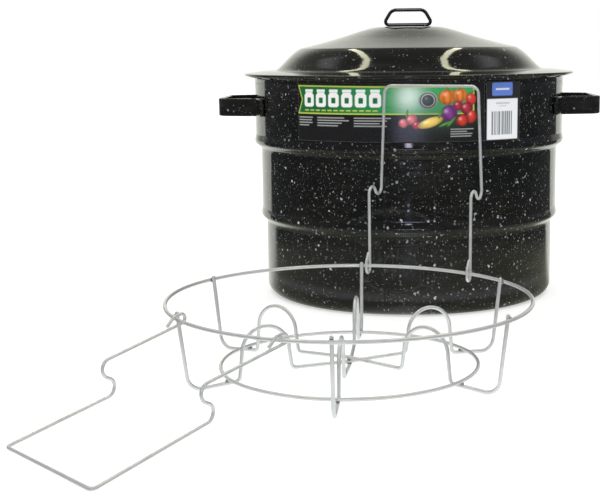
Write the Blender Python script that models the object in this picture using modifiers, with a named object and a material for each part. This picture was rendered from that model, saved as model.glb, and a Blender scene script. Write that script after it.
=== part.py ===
"""Enamelled boiling-water canner: stepped stock pot, domed lid and wire jar rack.

The pot stands on the floor with its axis on Z. The rack stands in front of it, on the -Y side.
All sizes are in metres.
"""
import math

import bmesh
import bpy
from mathutils import Vector

COLLECTION_NAME = "water_bath_canner"

# Gap between neighbouring pieces that touch on the real object
SEAT_GAP = 0.0003

# Pot: outer radii and heights of its three tiers
TOP_TIER_RADIUS = 0.1691
MIDDLE_TIER_RADIUS = 0.1632
BOTTOM_TIER_RADIUS = 0.1587
TOP_TIER_HEIGHT = 0.0774
MIDDLE_TIER_HEIGHT = 0.0800
BOTTOM_TIER_HEIGHT = 0.0840
STEP_BULGE = 0.0012
STEP_HEIGHT = 0.0080
BASE_CORNER_RADIUS = 0.0125
POT_WALL = 0.0012
RIM_FLARE_RADIUS = 0.0032
RIM_FLANGE = 0.0029
RIM_BEAD_RADIUS = 0.0014

# Lid: the brim rests on the pot's rim bead and its rolled edge hangs just outside it
LID_WALL = 0.0011
LID_ROLL_RADIUS = 0.0013
LID_ROLL_CLEARANCE = 0.0008
BRIM_RISE = 0.0028
BRIM_WIDTH = 0.0345
DOME_SIDE_WIDTH = 0.0280
DOME_SIDE_HEIGHT = 0.0238
CROWN_HEIGHT = 0.0224
CROWN_FLAT_MARGIN = 0.0006

# Strap loop on the lid's crown
LID_HANDLE_WIDTH = 0.0140
LID_HANDLE_THICKNESS = 0.0036
LID_HANDLE_HEIGHT = 0.0196
LID_HANDLE_FOOT_SPAN = 0.0545
LID_HANDLE_GRIP_SPAN = 0.0355
LID_HANDLE_CORNER = 0.0085

# Strap handles on the pot's sides
SIDE_HANDLE_HEIGHT = 0.0192
SIDE_HANDLE_THICKNESS = 0.0034
SIDE_HANDLE_BELOW_RIM = 0.0344
SIDE_HANDLE_REACH = 0.0350
SIDE_HANDLE_GRIP_SPAN = 0.0920
SIDE_HANDLE_FOOT_START = math.radians(19.0)
SIDE_HANDLE_FOOT_END = math.radians(27.0)
SIDE_HANDLE_CORNER = 0.0150

# Paper label and sticker on the top tier: angles are from the front, positive towards +X
PAPER_THICKNESS = 0.0004
PAPER_ABOVE_STEP = 0.0007
PAPER_BELOW_FLARE = 0.0006
LABEL_START = math.radians(-40.6)
LABEL_END = math.radians(26.2)
STICKER_START = math.radians(26.8)
STICKER_END = math.radians(41.0)

# Rack rings and cross wires
RACK_WIRE_RADIUS = 0.0016
TOP_RING_RADIUS = 0.1525
TOP_RING_HEIGHT = 0.0625
BOTTOM_RING_RADIUS = 0.1083
RACK_CENTRE_X = -0.0501
RACK_TURN = math.radians(28.0)
LEG_LEAN_IN = 0.0080
LEG_ABOVE_RING = 0.0030
LEG_BEND_RADIUS = 0.0120
ARCH_OUTER_FOOT = 0.0990
ARCH_INNER_FOOT = 0.0530
ARCH_TOP_HEIGHT = 0.0468
ARCH_RADIUS = 0.0205
ARCH_FOOT_BEND = 0.0040
BASE_RISE = 0.0024
INNER_FOOT_HEIGHT = 0.0092
CENTRE_HEIGHT = 0.0046
CROSS_WIRE_LEVELS = (1, 0, 2)
ARCH_SHIFTS = (0.0008, 0.0, 0.0008)

# Lift handles: wire bails hooked on the top ring, each with a jog that hangs over the pot's rim
HANDLE_WIRE_RADIUS = 0.00135
HOOK_CLEARANCE = 0.00095
HOOK_DROP = 0.0030
HOOK_TAIL_LENGTH = 0.0120
HANDLE_OFFSET = 0.0314
JOG_BEND_RADIUS = 0.0072
JOG_DIP = 0.0084
HANDLE_TO_RIM_GAP = 0.0005
REAR_HANDLE = {"turn": math.radians(66.0), "foot_span": 0.1030, "jog_span": 0.1036,
               "top_span": 0.0955, "jog_height": 0.0752, "length": 0.1705, "skew": 0.0,
               "corner": 0.0075}
FRONT_HANDLE = {"turn": math.radians(233.4), "foot_span": 0.1070, "jog_span": 0.1030,
                "top_span": 0.1063, "jog_height": 0.0800, "length": 0.1741, "skew": 0.0128,
                "corner": 0.0040}

# Facets
TURNED_STEPS = 48
RING_STEPS = 60
PAPER_STEPS_PER_RADIAN = 12
TINY = 0.00001

# Where a step's bulge fades into the wall above it, in step heights
STEP_FADE = 1.6

# Sizes that follow from the ones above
LOWER_STEP_LEVEL = BOTTOM_TIER_HEIGHT
UPPER_STEP_LEVEL = LOWER_STEP_LEVEL + MIDDLE_TIER_HEIGHT
RIM_SEAT_HEIGHT = UPPER_STEP_LEVEL + TOP_TIER_HEIGHT
FLARE_START_HEIGHT = RIM_SEAT_HEIGHT - RIM_BEAD_RADIUS - POT_WALL - RIM_FLARE_RADIUS
PAPER_BOTTOM = UPPER_STEP_LEVEL + STEP_HEIGHT * STEP_FADE + PAPER_ABOVE_STEP
PAPER_TOP = FLARE_START_HEIGHT - PAPER_BELOW_FLARE
RIM_BEAD_CENTRE = TOP_TIER_RADIUS + RIM_FLARE_RADIUS + RIM_FLANGE
LID_ROLL_CENTRE = RIM_BEAD_CENTRE + RIM_BEAD_RADIUS + LID_ROLL_CLEARANCE + LID_ROLL_RADIUS
LID_RADIUS = LID_ROLL_CENTRE + LID_ROLL_RADIUS
CROWN_FLAT_RADIUS = CROWN_FLAT_MARGIN + math.hypot(
    (LID_HANDLE_FOOT_SPAN + LID_HANDLE_THICKNESS) / 2, LID_HANDLE_WIDTH / 2)
SIDE_HANDLE_LEVEL = RIM_SEAT_HEIGHT - SIDE_HANDLE_BELOW_RIM
BASE_WIRE_HEIGHT = RACK_WIRE_RADIUS
CROSSING_STEP = 2 * RACK_WIRE_RADIUS + SEAT_GAP
LEG_TOP_RADIUS = TOP_RING_RADIUS - 2 * RACK_WIRE_RADIUS - SEAT_GAP
LEG_FOOT_RADIUS = LEG_TOP_RADIUS - LEG_LEAN_IN
BASE_RUN = LEG_FOOT_RADIUS - ARCH_OUTER_FOOT - max(ARCH_SHIFTS)
RISE_UNDER_RING = BASE_RISE * (LEG_FOOT_RADIUS - BOTTOM_RING_RADIUS + RACK_WIRE_RADIUS) / BASE_RUN
BOTTOM_RING_HEIGHT = BASE_WIRE_HEIGHT + RISE_UNDER_RING + CROSSING_STEP
HOOK_RADIUS = RACK_WIRE_RADIUS + HANDLE_WIRE_RADIUS + HOOK_CLEARANCE


def clear_scene():
    """Remove every object that the startup scene holds."""
    for found in list(bpy.data.objects):
        bpy.data.objects.remove(found)


def make_collection(name):
    """Return a new collection linked to the scene."""
    collection = bpy.data.collections.new(name)
    bpy.context.scene.collection.children.link(collection)
    return collection


def make_material(name, colour, roughness, metallic):
    """Return a Principled material of one plain colour."""
    material = bpy.data.materials.new(name)
    material.use_nodes = True
    shader = material.node_tree.nodes["Principled BSDF"]
    shader.inputs["Base Color"].default_value = (*colour, 1.0)
    shader.inputs["Roughness"].default_value = roughness
    shader.inputs["Metallic"].default_value = metallic
    material.diffuse_color = (*colour, 1.0)
    return material


def place(name, data, material, collection, parent=None):
    """Make an object from its data, give it its material and link it."""
    made = bpy.data.objects.new(name, data)
    if material is not None:
        data.materials.append(material)
    collection.objects.link(made)
    made.parent = parent
    return made


def arc(centre, radius, start, end, steps):
    """Points on a circle in the plane of a profile, from one angle in degrees to another."""
    points = []
    for index in range(steps + 1):
        angle = math.radians(start + (end - start) * index / steps)
        points.append((centre[0] + radius * math.cos(angle), centre[1] + radius * math.sin(angle)))
    return points


def offset_line(points, distance):
    """The line moved sideways by a distance, to the right of its direction, with mitred corners."""
    moved = []
    for index, point in enumerate(points):
        normals = []
        for first, second in ((index - 1, index), (index, index + 1)):
            if first < 0 or second >= len(points):
                continue
            run = Vector(points[second]) - Vector(points[first])
            normals.append(Vector((run.y, -run.x)).normalized())
        mean = sum(normals, Vector((0.0, 0.0))).normalized()
        shift = mean * distance / max(mean.dot(normals[0]), 0.5)
        moved.append((max(point[0] + shift.x, 0.0), point[1] + shift.y))
    return moved


def turned_piece(name, profile, material, collection, parent=None, steps=TURNED_STEPS):
    """Turn a profile of (radius, height) points about Z."""
    mesh = bpy.data.meshes.new(name)
    work = bmesh.new()
    corners = [work.verts.new((radius, 0.0, height)) for radius, height in profile]
    for first, second in zip(corners, corners[1:]):
        work.edges.new((first, second))
    work.to_mesh(mesh)
    work.free()
    made = place(name, mesh, material, collection, parent)
    screw = made.modifiers.new("turn", "SCREW")
    screw.steps = steps
    screw.render_steps = steps
    screw.use_merge_vertices = True
    screw.merge_threshold = TINY
    screw.use_smooth_shade = True
    return made


def rounded_path(corners, radii, steps):
    """Replace each inner corner of a path by an arc of its radius."""
    points = [Vector(corners[0])]
    for index in range(1, len(corners) - 1):
        corner = Vector(corners[index])
        back = Vector(corners[index - 1]) - corner
        ahead = Vector(corners[index + 1]) - corner
        half_angle = back.angle(ahead) / 2
        radius = radii[index - 1]
        if radius <= 0 or math.pi / 2 - half_angle < TINY:
            points.append(corner)
            continue
        room = min(back.length, ahead.length) * 0.9
        trim = min(radius / math.tan(half_angle), room)
        radius = trim * math.tan(half_angle)
        start = corner + back.normalized() * trim
        end = corner + ahead.normalized() * trim
        centre = corner + (back.normalized() + ahead.normalized()).normalized() * (
            radius / math.sin(half_angle))
        first = (start - centre).normalized()
        last = (end - centre).normalized()
        for step in range(steps + 1):
            points.append(centre + first.slerp(last, step / steps) * radius)
    points.append(Vector(corners[-1]))
    return points


def poly_curve(name, points, cyclic):
    """Return curve data with one straight-segment spline."""
    curve = bpy.data.curves.new(name, "CURVE")
    curve.dimensions = "3D"
    spline = curve.splines.new("POLY")
    spline.points.add(len(points) - 1)
    for point, position in zip(spline.points, points):
        point.co = (*position, 1.0)
    spline.use_cyclic_u = cyclic
    return curve


def wire(name, points, radius, material, collection, parent=None, cyclic=False):
    """A round wire along a path."""
    curve = poly_curve(name, points, cyclic)
    curve.bevel_depth = radius
    curve.bevel_resolution = 2
    curve.use_fill_caps = not cyclic
    return place(name, curve, material, collection, parent)


def strap(name, points, height, thickness, material, collection, parent=None, cyclic=False):
    """A flat band with rounded edges along a level path, standing up in the path's Z."""
    curve = poly_curve(name, points, cyclic)
    curve.twist_mode = "Z_UP"
    curve.extrude = height / 2 - thickness / 2
    curve.bevel_depth = thickness / 2
    curve.bevel_resolution = 1
    curve.use_fill_caps = not cyclic
    return place(name, curve, material, collection, parent)


def step_profile(lower_radius, upper_radius, height):
    """The outer line of one step of the pot, from below it to above it."""
    bulge = upper_radius + STEP_BULGE
    middle = (lower_radius + bulge) / 2
    return [
        (lower_radius, height - STEP_HEIGHT * 0.55),
        (lower_radius + (middle - lower_radius) * 0.45, height - STEP_HEIGHT * 0.15),
        (middle, height + STEP_HEIGHT * 0.10),
        (bulge - STEP_BULGE * 0.7, height + STEP_HEIGHT * 0.42),
        (bulge, height + STEP_HEIGHT * 0.80),
        (bulge - STEP_BULGE * 0.35, height + STEP_HEIGHT * 1.20),
        (upper_radius, height + STEP_HEIGHT * STEP_FADE),
    ]


def make_pot_shell(material, collection):
    """Stepped shell with a rounded base corner and a flared rim that ends in a rolled bead."""
    corner_centre = (BOTTOM_TIER_RADIUS - BASE_CORNER_RADIUS, BASE_CORNER_RADIUS)
    flare_centre = (TOP_TIER_RADIUS + RIM_FLARE_RADIUS, FLARE_START_HEIGHT)
    outer = [(0.0, 0.0)]
    outer += arc(corner_centre, BASE_CORNER_RADIUS, -90, 0, 5)
    outer += step_profile(BOTTOM_TIER_RADIUS, MIDDLE_TIER_RADIUS, LOWER_STEP_LEVEL)
    outer += step_profile(MIDDLE_TIER_RADIUS, TOP_TIER_RADIUS, UPPER_STEP_LEVEL)
    outer += arc(flare_centre, RIM_FLARE_RADIUS, 180, 90, 3)
    inner = offset_line(outer, -POT_WALL)
    inner[0] = (0.0, POT_WALL)
    bead_centre = (RIM_BEAD_CENTRE, RIM_SEAT_HEIGHT - RIM_BEAD_RADIUS)
    bead = arc(bead_centre, RIM_BEAD_RADIUS, 150, -100, 6)
    profile = inner + bead + list(reversed(outer))
    return turned_piece("pot_shell", profile, material, collection)


def lid_outline():
    """The lid's upper line, from the centre of the crown to the rolled edge."""
    roll_height = brim_edge_height() - LID_ROLL_RADIUS
    dome_foot = LID_RADIUS - BRIM_WIDTH
    dome_foot_height = brim_edge_height() + BRIM_RISE
    crease = dome_foot - DOME_SIDE_WIDTH
    crease_height = dome_foot_height + DOME_SIDE_HEIGHT
    crown_run = crease - CROWN_FLAT_RADIUS
    line = [(0.0, crease_height + CROWN_HEIGHT), (CROWN_FLAT_RADIUS, crease_height + CROWN_HEIGHT)]
    for share, level in ((0.10, 0.955), (0.24, 0.82), (0.46, 0.54), (0.78, 0.18), (1.0, 0.0)):
        line.append((CROWN_FLAT_RADIUS + crown_run * share, crease_height + CROWN_HEIGHT * level))
    for share, level in ((0.10, 0.05), (0.34, 0.235), (0.66, 0.55), (0.90, 0.85), (1.0, 0.97)):
        line.append((crease + DOME_SIDE_WIDTH * share, crease_height - DOME_SIDE_HEIGHT * level))
    line.append((dome_foot + BRIM_WIDTH * 0.05, dome_foot_height))
    line.append((dome_foot + BRIM_WIDTH * 0.36, dome_foot_height - BRIM_RISE * 0.08))
    line.append((dome_foot + BRIM_WIDTH * 0.66, dome_foot_height - BRIM_RISE * 0.55))
    line.append((LID_ROLL_CENTRE - LID_ROLL_RADIUS * 1.2, brim_edge_height() + BRIM_RISE * 0.08))
    return line, (LID_ROLL_CENTRE, roll_height)


def brim_edge_height():
    """The top of the lid's rolled edge, with the brim's underside resting on the rim bead."""
    return RIM_SEAT_HEIGHT + SEAT_GAP + LID_WALL - BRIM_RISE * 0.17


def make_lid_shell(material, collection, parent):
    """Domed lid: flat crown top, sloping crown, rounded side, flat brim and rolled edge."""
    upper, roll_centre = lid_outline()
    lower = offset_line(upper, LID_WALL)
    lower[0] = (0.0, upper[0][1] - LID_WALL)
    roll = arc(roll_centre, LID_ROLL_RADIUS, 80, -160, 6)
    profile = upper + roll + list(reversed(lower))
    profile = [(radius, height - parent.location.z) for radius, height in profile]
    return turned_piece("lid_shell", profile, material, collection, parent)


def make_lid_handle(material, collection, parent, crown_height):
    """Closed strap loop standing on the flat top of the crown."""
    bottom = crown_height - parent.location.z + SEAT_GAP + LID_HANDLE_THICKNESS / 2
    top = bottom + LID_HANDLE_HEIGHT - LID_HANDLE_THICKNESS
    foot = LID_HANDLE_FOOT_SPAN / 2
    grip = LID_HANDLE_GRIP_SPAN / 2
    corners = [(0, bottom, 0), (foot, bottom, 0), (grip, top, 0), (-grip, top, 0),
               (-foot, bottom, 0), (0, bottom, 0)]
    radii = [LID_HANDLE_THICKNESS, LID_HANDLE_CORNER, LID_HANDLE_CORNER, LID_HANDLE_THICKNESS]
    path = rounded_path(corners, radii, 5)[:-1]
    handle = strap("lid_handle", path, LID_HANDLE_WIDTH, LID_HANDLE_THICKNESS, material,
                   collection, parent, cyclic=True)
    handle.rotation_euler = (math.pi / 2, 0, 0)
    return handle


def make_side_handle(name, turn, material, collection):
    """Strap handle whose two feet lie along the wall of the top tier."""
    foot_radius = TOP_TIER_RADIUS + SEAT_GAP + TINY * 8 + SIDE_HANDLE_THICKNESS / 2
    grip = foot_radius + SIDE_HANDLE_REACH - SIDE_HANDLE_THICKNESS / 2
    foot_steps = 3
    half = []
    for index in range(foot_steps + 1):
        share = index / foot_steps
        angle = SIDE_HANDLE_FOOT_END + (SIDE_HANDLE_FOOT_START - SIDE_HANDLE_FOOT_END) * share
        half.append((foot_radius * math.cos(angle), foot_radius * math.sin(angle), 0))
    half.append((grip, SIDE_HANDLE_GRIP_SPAN / 2, 0))
    corners = half + [(x, -y, z) for x, y, z in reversed(half)]
    bends = [0] * (foot_steps - 1) + [SIDE_HANDLE_CORNER / 2, SIDE_HANDLE_CORNER]
    path = rounded_path(corners, bends + list(reversed(bends)), 5)
    handle = strap(name, path, SIDE_HANDLE_HEIGHT, SIDE_HANDLE_THICKNESS, material, collection)
    handle.location.z = SIDE_HANDLE_LEVEL
    handle.rotation_euler.z = turn
    return handle


def make_paper(name, start, end, material, collection):
    """A curved sheet of paper lying on the top tier, between two angles from the front."""
    steps = max(2, math.ceil((end - start) * PAPER_STEPS_PER_RADIAN))
    inside = (TOP_TIER_RADIUS + SEAT_GAP) / math.cos((end - start) / steps / 2)
    line = [(inside, PAPER_TOP), (inside, PAPER_BOTTOM)]
    paper = turned_piece(name, line, material, collection, steps=steps)
    paper.modifiers["turn"].angle = end - start
    paper.modifiers["turn"].use_merge_vertices = False
    paper.rotation_euler.z = start - math.pi / 2
    thicken = paper.modifiers.new("thickness", "SOLIDIFY")
    thicken.thickness = PAPER_THICKNESS
    thicken.offset = 1.0
    return paper


def ring_points(radius, turn):
    """Points of a level circle, starting at an angle."""
    points = []
    for index in range(RING_STEPS):
        angle = turn + 2 * math.pi * index / RING_STEPS
        points.append((radius * math.cos(angle), radius * math.sin(angle), 0.0))
    return points


def cross_wire_points(level, shift):
    """Half of a cross wire in its own plane, with its arch shifted outward: leg, base, arch, centre."""
    arch_middle = (ARCH_OUTER_FOOT + ARCH_INNER_FOOT) / 2 + shift
    spring_height = ARCH_TOP_HEIGHT - ARCH_RADIUS
    leg_top = (LEG_TOP_RADIUS, 0, TOP_RING_HEIGHT + LEG_ABOVE_RING)
    slope = BASE_RISE / (LEG_FOOT_RADIUS - ARCH_OUTER_FOOT - shift)
    leg_foot = (LEG_FOOT_RADIUS, 0, BASE_WIRE_HEIGHT - LEG_BEND_RADIUS * slope)
    outer_foot = (ARCH_OUTER_FOOT + shift, 0, BASE_WIRE_HEIGHT + BASE_RISE)
    outer_spring = (arch_middle + ARCH_RADIUS, 0, spring_height)
    inner_spring = (arch_middle - ARCH_RADIUS, 0, spring_height)
    inner_foot = (ARCH_INNER_FOOT + shift, 0, INNER_FOOT_HEIGHT)
    centre = (0.0, 0, CENTRE_HEIGHT + level * CROSSING_STEP)
    points = rounded_path([leg_top, leg_foot, outer_foot, outer_spring],
                          [LEG_BEND_RADIUS, ARCH_FOOT_BEND], 4)
    for radius, height in arc((arch_middle, spring_height), ARCH_RADIUS, 0, 180, 8)[1:-1]:
        points.append(Vector((radius, 0, height)))
    points += rounded_path([inner_spring, inner_foot, centre], [ARCH_FOOT_BEND], 3)
    return points


def make_cross_wire(name, turn, level, shift, material, collection, parent):
    """One wire across the whole rack, turned about its centre, with its arches shifted along it."""
    half = cross_wire_points(level, shift)
    opposite = cross_wire_points(level, -shift)
    other_half = [Vector((-point.x, 0, point.z)) for point in reversed(opposite[:-1])]
    made = wire(name, half + other_half, RACK_WIRE_RADIUS, material, collection, parent)
    made.rotation_euler.z = turn
    return made


def hook_points():
    """The bent end of a lift handle's wire, from its tail tip to the start of the leg."""
    clear = 2 * HANDLE_WIRE_RADIUS + SEAT_GAP
    points = [(HOOK_RADIUS - clear, HOOK_TAIL_LENGTH), (-HOOK_RADIUS, HOOK_RADIUS)]
    points += arc((0.0, -HOOK_DROP), HOOK_RADIUS, 180, 360, 8)
    return points


def jog_points(sizes):
    """The S-shaped jog between the leg and the upper part, in (outward, up)."""
    peak = sizes["jog_height"]
    first = Vector((HOOK_RADIUS + JOG_BEND_RADIUS, peak - JOG_BEND_RADIUS))
    second = Vector((HANDLE_OFFSET - JOG_BEND_RADIUS, peak - JOG_DIP + JOG_BEND_RADIUS))
    between = second - first
    slope = math.degrees(math.atan2(between.y, between.x))
    swing = math.degrees(math.acos(min(1.0, 2 * JOG_BEND_RADIUS / between.length)))
    meet = slope + swing
    points = arc(first, JOG_BEND_RADIUS, 180, meet, 7)
    points += arc(second, JOG_BEND_RADIUS, 180 + meet, 360, 7)
    return points


def half_span(sizes, height):
    """Half the distance between the two legs at a height above the hinge."""
    jog = sizes["jog_height"]
    if height <= jog:
        share = max(height, 0.0) / jog
        return (sizes["foot_span"] + (sizes["jog_span"] - sizes["foot_span"]) * share) / 2
    share = (height - jog) / (sizes["length"] - jog)
    return (sizes["jog_span"] + (sizes["top_span"] - sizes["jog_span"]) * share) / 2


def lift_handle_points(sizes):
    """The whole wire in the handle's own frame: X along the hinge, Y outward, Z up the handle."""
    middle = (0.0, HANDLE_OFFSET, sizes["length"])
    halves = []
    for sign in (1, -1):
        leg = []
        for outward, up in hook_points() + jog_points(sizes):
            leg.append((sign * half_span(sizes, up), outward, up))
        corner_height = sizes["length"] - sign * sizes["skew"] / 2
        top = (sign * half_span(sizes, sizes["length"]), HANDLE_OFFSET, corner_height)
        bend = rounded_path([leg[-1], top, middle], [sizes["corner"]], 5)[1:-1]
        halves.append([Vector(point) for point in leg] + bend)
    return halves[0] + list(reversed(halves[1]))


def hinge_distance(sizes):
    """How far the line between the two hooks lies from the rack's centre."""
    return math.sqrt(TOP_RING_RADIUS ** 2 - (sizes["foot_span"] / 2) ** 2)


def lying_angle(sizes):
    """How far below level a handle reaches when its top bar lies on the floor."""
    drop = TOP_RING_HEIGHT - HANDLE_WIRE_RADIUS - SEAT_GAP
    longest = sizes["length"] + abs(sizes["skew"]) / 2
    reach = math.hypot(longest, HANDLE_OFFSET)
    return math.asin(drop / reach) - math.atan2(HANDLE_OFFSET, longest)


def rack_centre_y():
    """Where the rack stands, so that the rear handle's nearest corner just clears the lid's edge."""
    turn = REAR_HANDLE["turn"]
    reach = hinge_distance(REAR_HANDLE) + HANDLE_OFFSET
    side = max(REAR_HANDLE["top_span"], REAR_HANDLE["jog_span"]) / 2
    corner_x = RACK_CENTRE_X + reach * math.cos(turn) - side * math.sin(turn)
    corner_y = reach * math.sin(turn) + side * math.cos(turn)
    clear_radius = LID_RADIUS + HANDLE_WIRE_RADIUS + HANDLE_TO_RIM_GAP
    return -math.sqrt(clear_radius ** 2 - corner_x ** 2) - corner_y


def make_lift_handle(name, sizes, lean, material, collection, parent):
    """A lift handle hinged on the top ring, leaning outward from upright by an angle."""
    made = wire(name, lift_handle_points(sizes), HANDLE_WIRE_RADIUS, material, collection, parent)
    distance = hinge_distance(sizes)
    turn = sizes["turn"]
    made.location = (distance * math.cos(turn), distance * math.sin(turn), TOP_RING_HEIGHT)
    made.rotation_euler = (-lean, 0, turn - math.pi / 2)
    return made


def make_axis(name, location, collection):
    """An empty that marks where a lifted group is carried."""
    axis = place(name, None, None, collection)
    axis.location = location
    return axis


def smooth_wires(collection):
    """Shade the wires and straps smooth."""
    for made in collection.objects:
        if made.type == "CURVE":
            made.data.splines[0].use_smooth = True


def main():
    clear_scene()
    parts = make_collection(COLLECTION_NAME)
    enamel = make_material("speckled_enamel", (0.012, 0.013, 0.013), 0.12, 0.0)
    chrome = make_material("bright_wire", (0.74, 0.75, 0.77), 0.18, 1.0)
    paper = make_material("printed_paper", (0.03, 0.16, 0.08), 0.25, 0.0)
    sticker = make_material("white_sticker", (0.80, 0.81, 0.84), 0.35, 0.0)

    make_pot_shell(enamel, parts)
    make_side_handle("right_side_handle", 0.0, enamel, parts)
    make_side_handle("left_side_handle", math.pi, enamel, parts)
    make_paper("paper_label", LABEL_START, LABEL_END, paper, parts)
    make_paper("price_sticker", STICKER_START, STICKER_END, sticker, parts)

    lid_axis = make_axis("lid_lift_axis", (0, 0, RIM_SEAT_HEIGHT), parts)
    make_lid_shell(enamel, parts, lid_axis)
    crown_height = lid_outline()[0][0][1]
    make_lid_handle(enamel, parts, lid_axis, crown_height)

    rack_axis = make_axis("rack_lift_axis", (RACK_CENTRE_X, rack_centre_y(), 0), parts)
    for name, radius, height in (("rack_top_ring", TOP_RING_RADIUS, TOP_RING_HEIGHT),
                                 ("rack_bottom_ring", BOTTOM_RING_RADIUS, BOTTOM_RING_HEIGHT)):
        ring = wire(name, ring_points(radius, RACK_TURN), RACK_WIRE_RADIUS, chrome, parts,
                    rack_axis, cyclic=True)
        ring.location.z = height
    for index, (level, shift) in enumerate(zip(CROSS_WIRE_LEVELS, ARCH_SHIFTS)):
        turn = RACK_TURN + index * math.pi / len(CROSS_WIRE_LEVELS)
        make_cross_wire("rack_cross_wire_" + str(index + 1), turn, level, shift, chrome, parts,
                        rack_axis)
    make_lift_handle("rear_lift_handle", REAR_HANDLE, 0.0, chrome, parts, rack_axis)
    lying = math.pi / 2 + lying_angle(FRONT_HANDLE)
    make_lift_handle("front_lift_handle", FRONT_HANDLE, lying, chrome, parts, rack_axis)
    smooth_wires(parts)


main()
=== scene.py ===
import math

import bmesh
import bpy
import numpy as np
from mathutils import Matrix, Vector


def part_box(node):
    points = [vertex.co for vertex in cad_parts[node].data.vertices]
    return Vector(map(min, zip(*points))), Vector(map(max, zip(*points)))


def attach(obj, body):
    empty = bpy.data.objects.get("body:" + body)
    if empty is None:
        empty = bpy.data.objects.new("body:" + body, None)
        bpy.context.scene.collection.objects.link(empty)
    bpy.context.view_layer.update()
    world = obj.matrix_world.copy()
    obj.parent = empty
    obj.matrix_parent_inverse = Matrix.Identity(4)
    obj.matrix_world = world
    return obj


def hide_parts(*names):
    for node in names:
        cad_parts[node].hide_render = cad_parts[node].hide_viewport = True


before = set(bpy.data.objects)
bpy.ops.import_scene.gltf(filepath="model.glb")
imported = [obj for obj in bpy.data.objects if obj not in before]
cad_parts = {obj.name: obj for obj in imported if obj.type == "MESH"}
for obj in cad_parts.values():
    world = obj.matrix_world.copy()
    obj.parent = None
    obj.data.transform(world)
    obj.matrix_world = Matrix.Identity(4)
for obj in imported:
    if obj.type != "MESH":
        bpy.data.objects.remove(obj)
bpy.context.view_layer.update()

draws = np.random.default_rng(21)
mm = 0.001
print("canner: frame loaded, making the camera and the studio")


# the camera: where it stands and how it is turned
cameraSet = {
    "spot": (-0.00106, -1.34357, 0.26922),
    "yaw": -0.04504, "pitch": 0.16456, "roll": -0.0091,  # radians: left of +Y, below level, sideways lean
    "lens": 72.02, "shiftX": -0.09,
}


def makeCamera():
    # the view axis from yaw and pitch, then right and up turned by the roll
    yaw, pitch, roll = cameraSet["yaw"], cameraSet["pitch"], cameraSet["roll"]
    ahead = Vector((math.sin(yaw) * math.cos(pitch), math.cos(yaw) * math.cos(pitch), -math.sin(pitch)))
    levelRight = Vector((math.cos(yaw), -math.sin(yaw), 0))
    levelUp = levelRight.cross(ahead)
    right = levelRight * math.cos(roll) + levelUp * math.sin(roll)
    up = levelUp * math.cos(roll) - levelRight * math.sin(roll)
    data = bpy.data.cameras.new("viewCamera")
    data.lens = cameraSet["lens"]
    data.sensor_width = 36
    data.shift_x = cameraSet["shiftX"]
    camera = bpy.data.objects.new("viewCamera", data)
    turn = Matrix((right, up, -ahead)).transposed().to_4x4()
    camera.matrix_world = Matrix.Translation(cameraSet["spot"]) @ turn
    bpy.context.scene.collection.objects.link(camera)
    bpy.context.scene.camera = camera


def addNode(tree, kind, inputs=None, **settings):
    # a node with its settings; its inputs, by name or number, are values or other nodes' sockets
    node = tree.nodes.new(kind)
    for key, value in settings.items():
        setattr(node, key, value)
    for key, value in (inputs or {}).items():
        if isinstance(value, bpy.types.NodeSocket):
            tree.links.new(value, node.inputs[key])
        else:
            node.inputs[key].default_value = value
    return node


def addMath(tree, operation, first, second=0.0, clamp=False):
    return addNode(tree, "ShaderNodeMath", {0: first, 1: second}, operation=operation,
                   use_clamp=clamp).outputs[0]


def times(tree, first, second):
    return addMath(tree, "MULTIPLY", first, second)


def plus(tree, first, second):
    return addMath(tree, "ADD", first, second)


def addNoise(tree, place, scale, detail):
    return addNode(tree, "ShaderNodeTexNoise",
                   {"Vector": place, "Scale": scale, "Detail": detail}).outputs["Fac"]


def addMix(tree, factor, first, second, blend="MIX"):
    # colour mix: sockets 6 and 7 are the two colours, output 2 the result
    return addNode(tree, "ShaderNodeMix", {0: factor, 6: first, 7: second},
                   data_type="RGBA", blend_type=blend).outputs[2]


def addRange(tree, value, low, high, toLow=0.0, toHigh=1.0, kind="SMOOTHSTEP"):
    return addNode(tree, "ShaderNodeMapRange", {"Value": value, "From Min": low, "From Max": high,
                                                "To Min": toLow, "To Max": toHigh},
                   interpolation_type=kind).outputs[0]


studio = {
    "backdrop": (1.0, 1.0, 1.0, 1), "fill": (1.0, 1.0, 1.0, 1), "fillStrength": 0.95,
    "mirrorFront": (0.110, 0.115, 0.125, 1), "mirrorFrontHigh": (0.60, 0.61, 0.63, 1),
    "mirrorBack": (0.92, 0.94, 0.85, 1), "mirrorBackHigh": (0.42, 0.42, 0.37, 1),
    "mirrorZenith": (0.11, 0.11, 0.11, 1),
    "flash": (7.5, 7.6, 8.8, 1), "window": (0.40, 0.40, 0.56, 1), "sheen": (3.4, 3.5, 5.2, 1),
    "floorColour": (0.80, 0.80, 0.80, 1), "floorGlow": 0.48,
    "floorMirror": (0.070, 0.074, 0.076, 1), "floorMirrorNear": (0.26, 0.26, 0.21, 1),
    "floorMirrorClose": (0.80, 0.82, 0.82, 1), "floorMirrorBack": (0.96, 0.98, 0.90, 1),
    "floorStreak": (0.16, 0.15, 0.27, 1),
}


masks = {  # low end, high end and soft edge of each patch, as sine of the angle or metres on the floor
    "narrow": (-0.010, 0.018, 0.045), "flash": (0.30, 0.46, 0.04), "window": (-0.60, -0.20, 0.05),
    "sheenAcross": (-0.06, 0.10, 0.18), "sheen": (-0.076, -0.02, 0.011), "streak": (-0.006, 0.016, 0.045),
}


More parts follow.
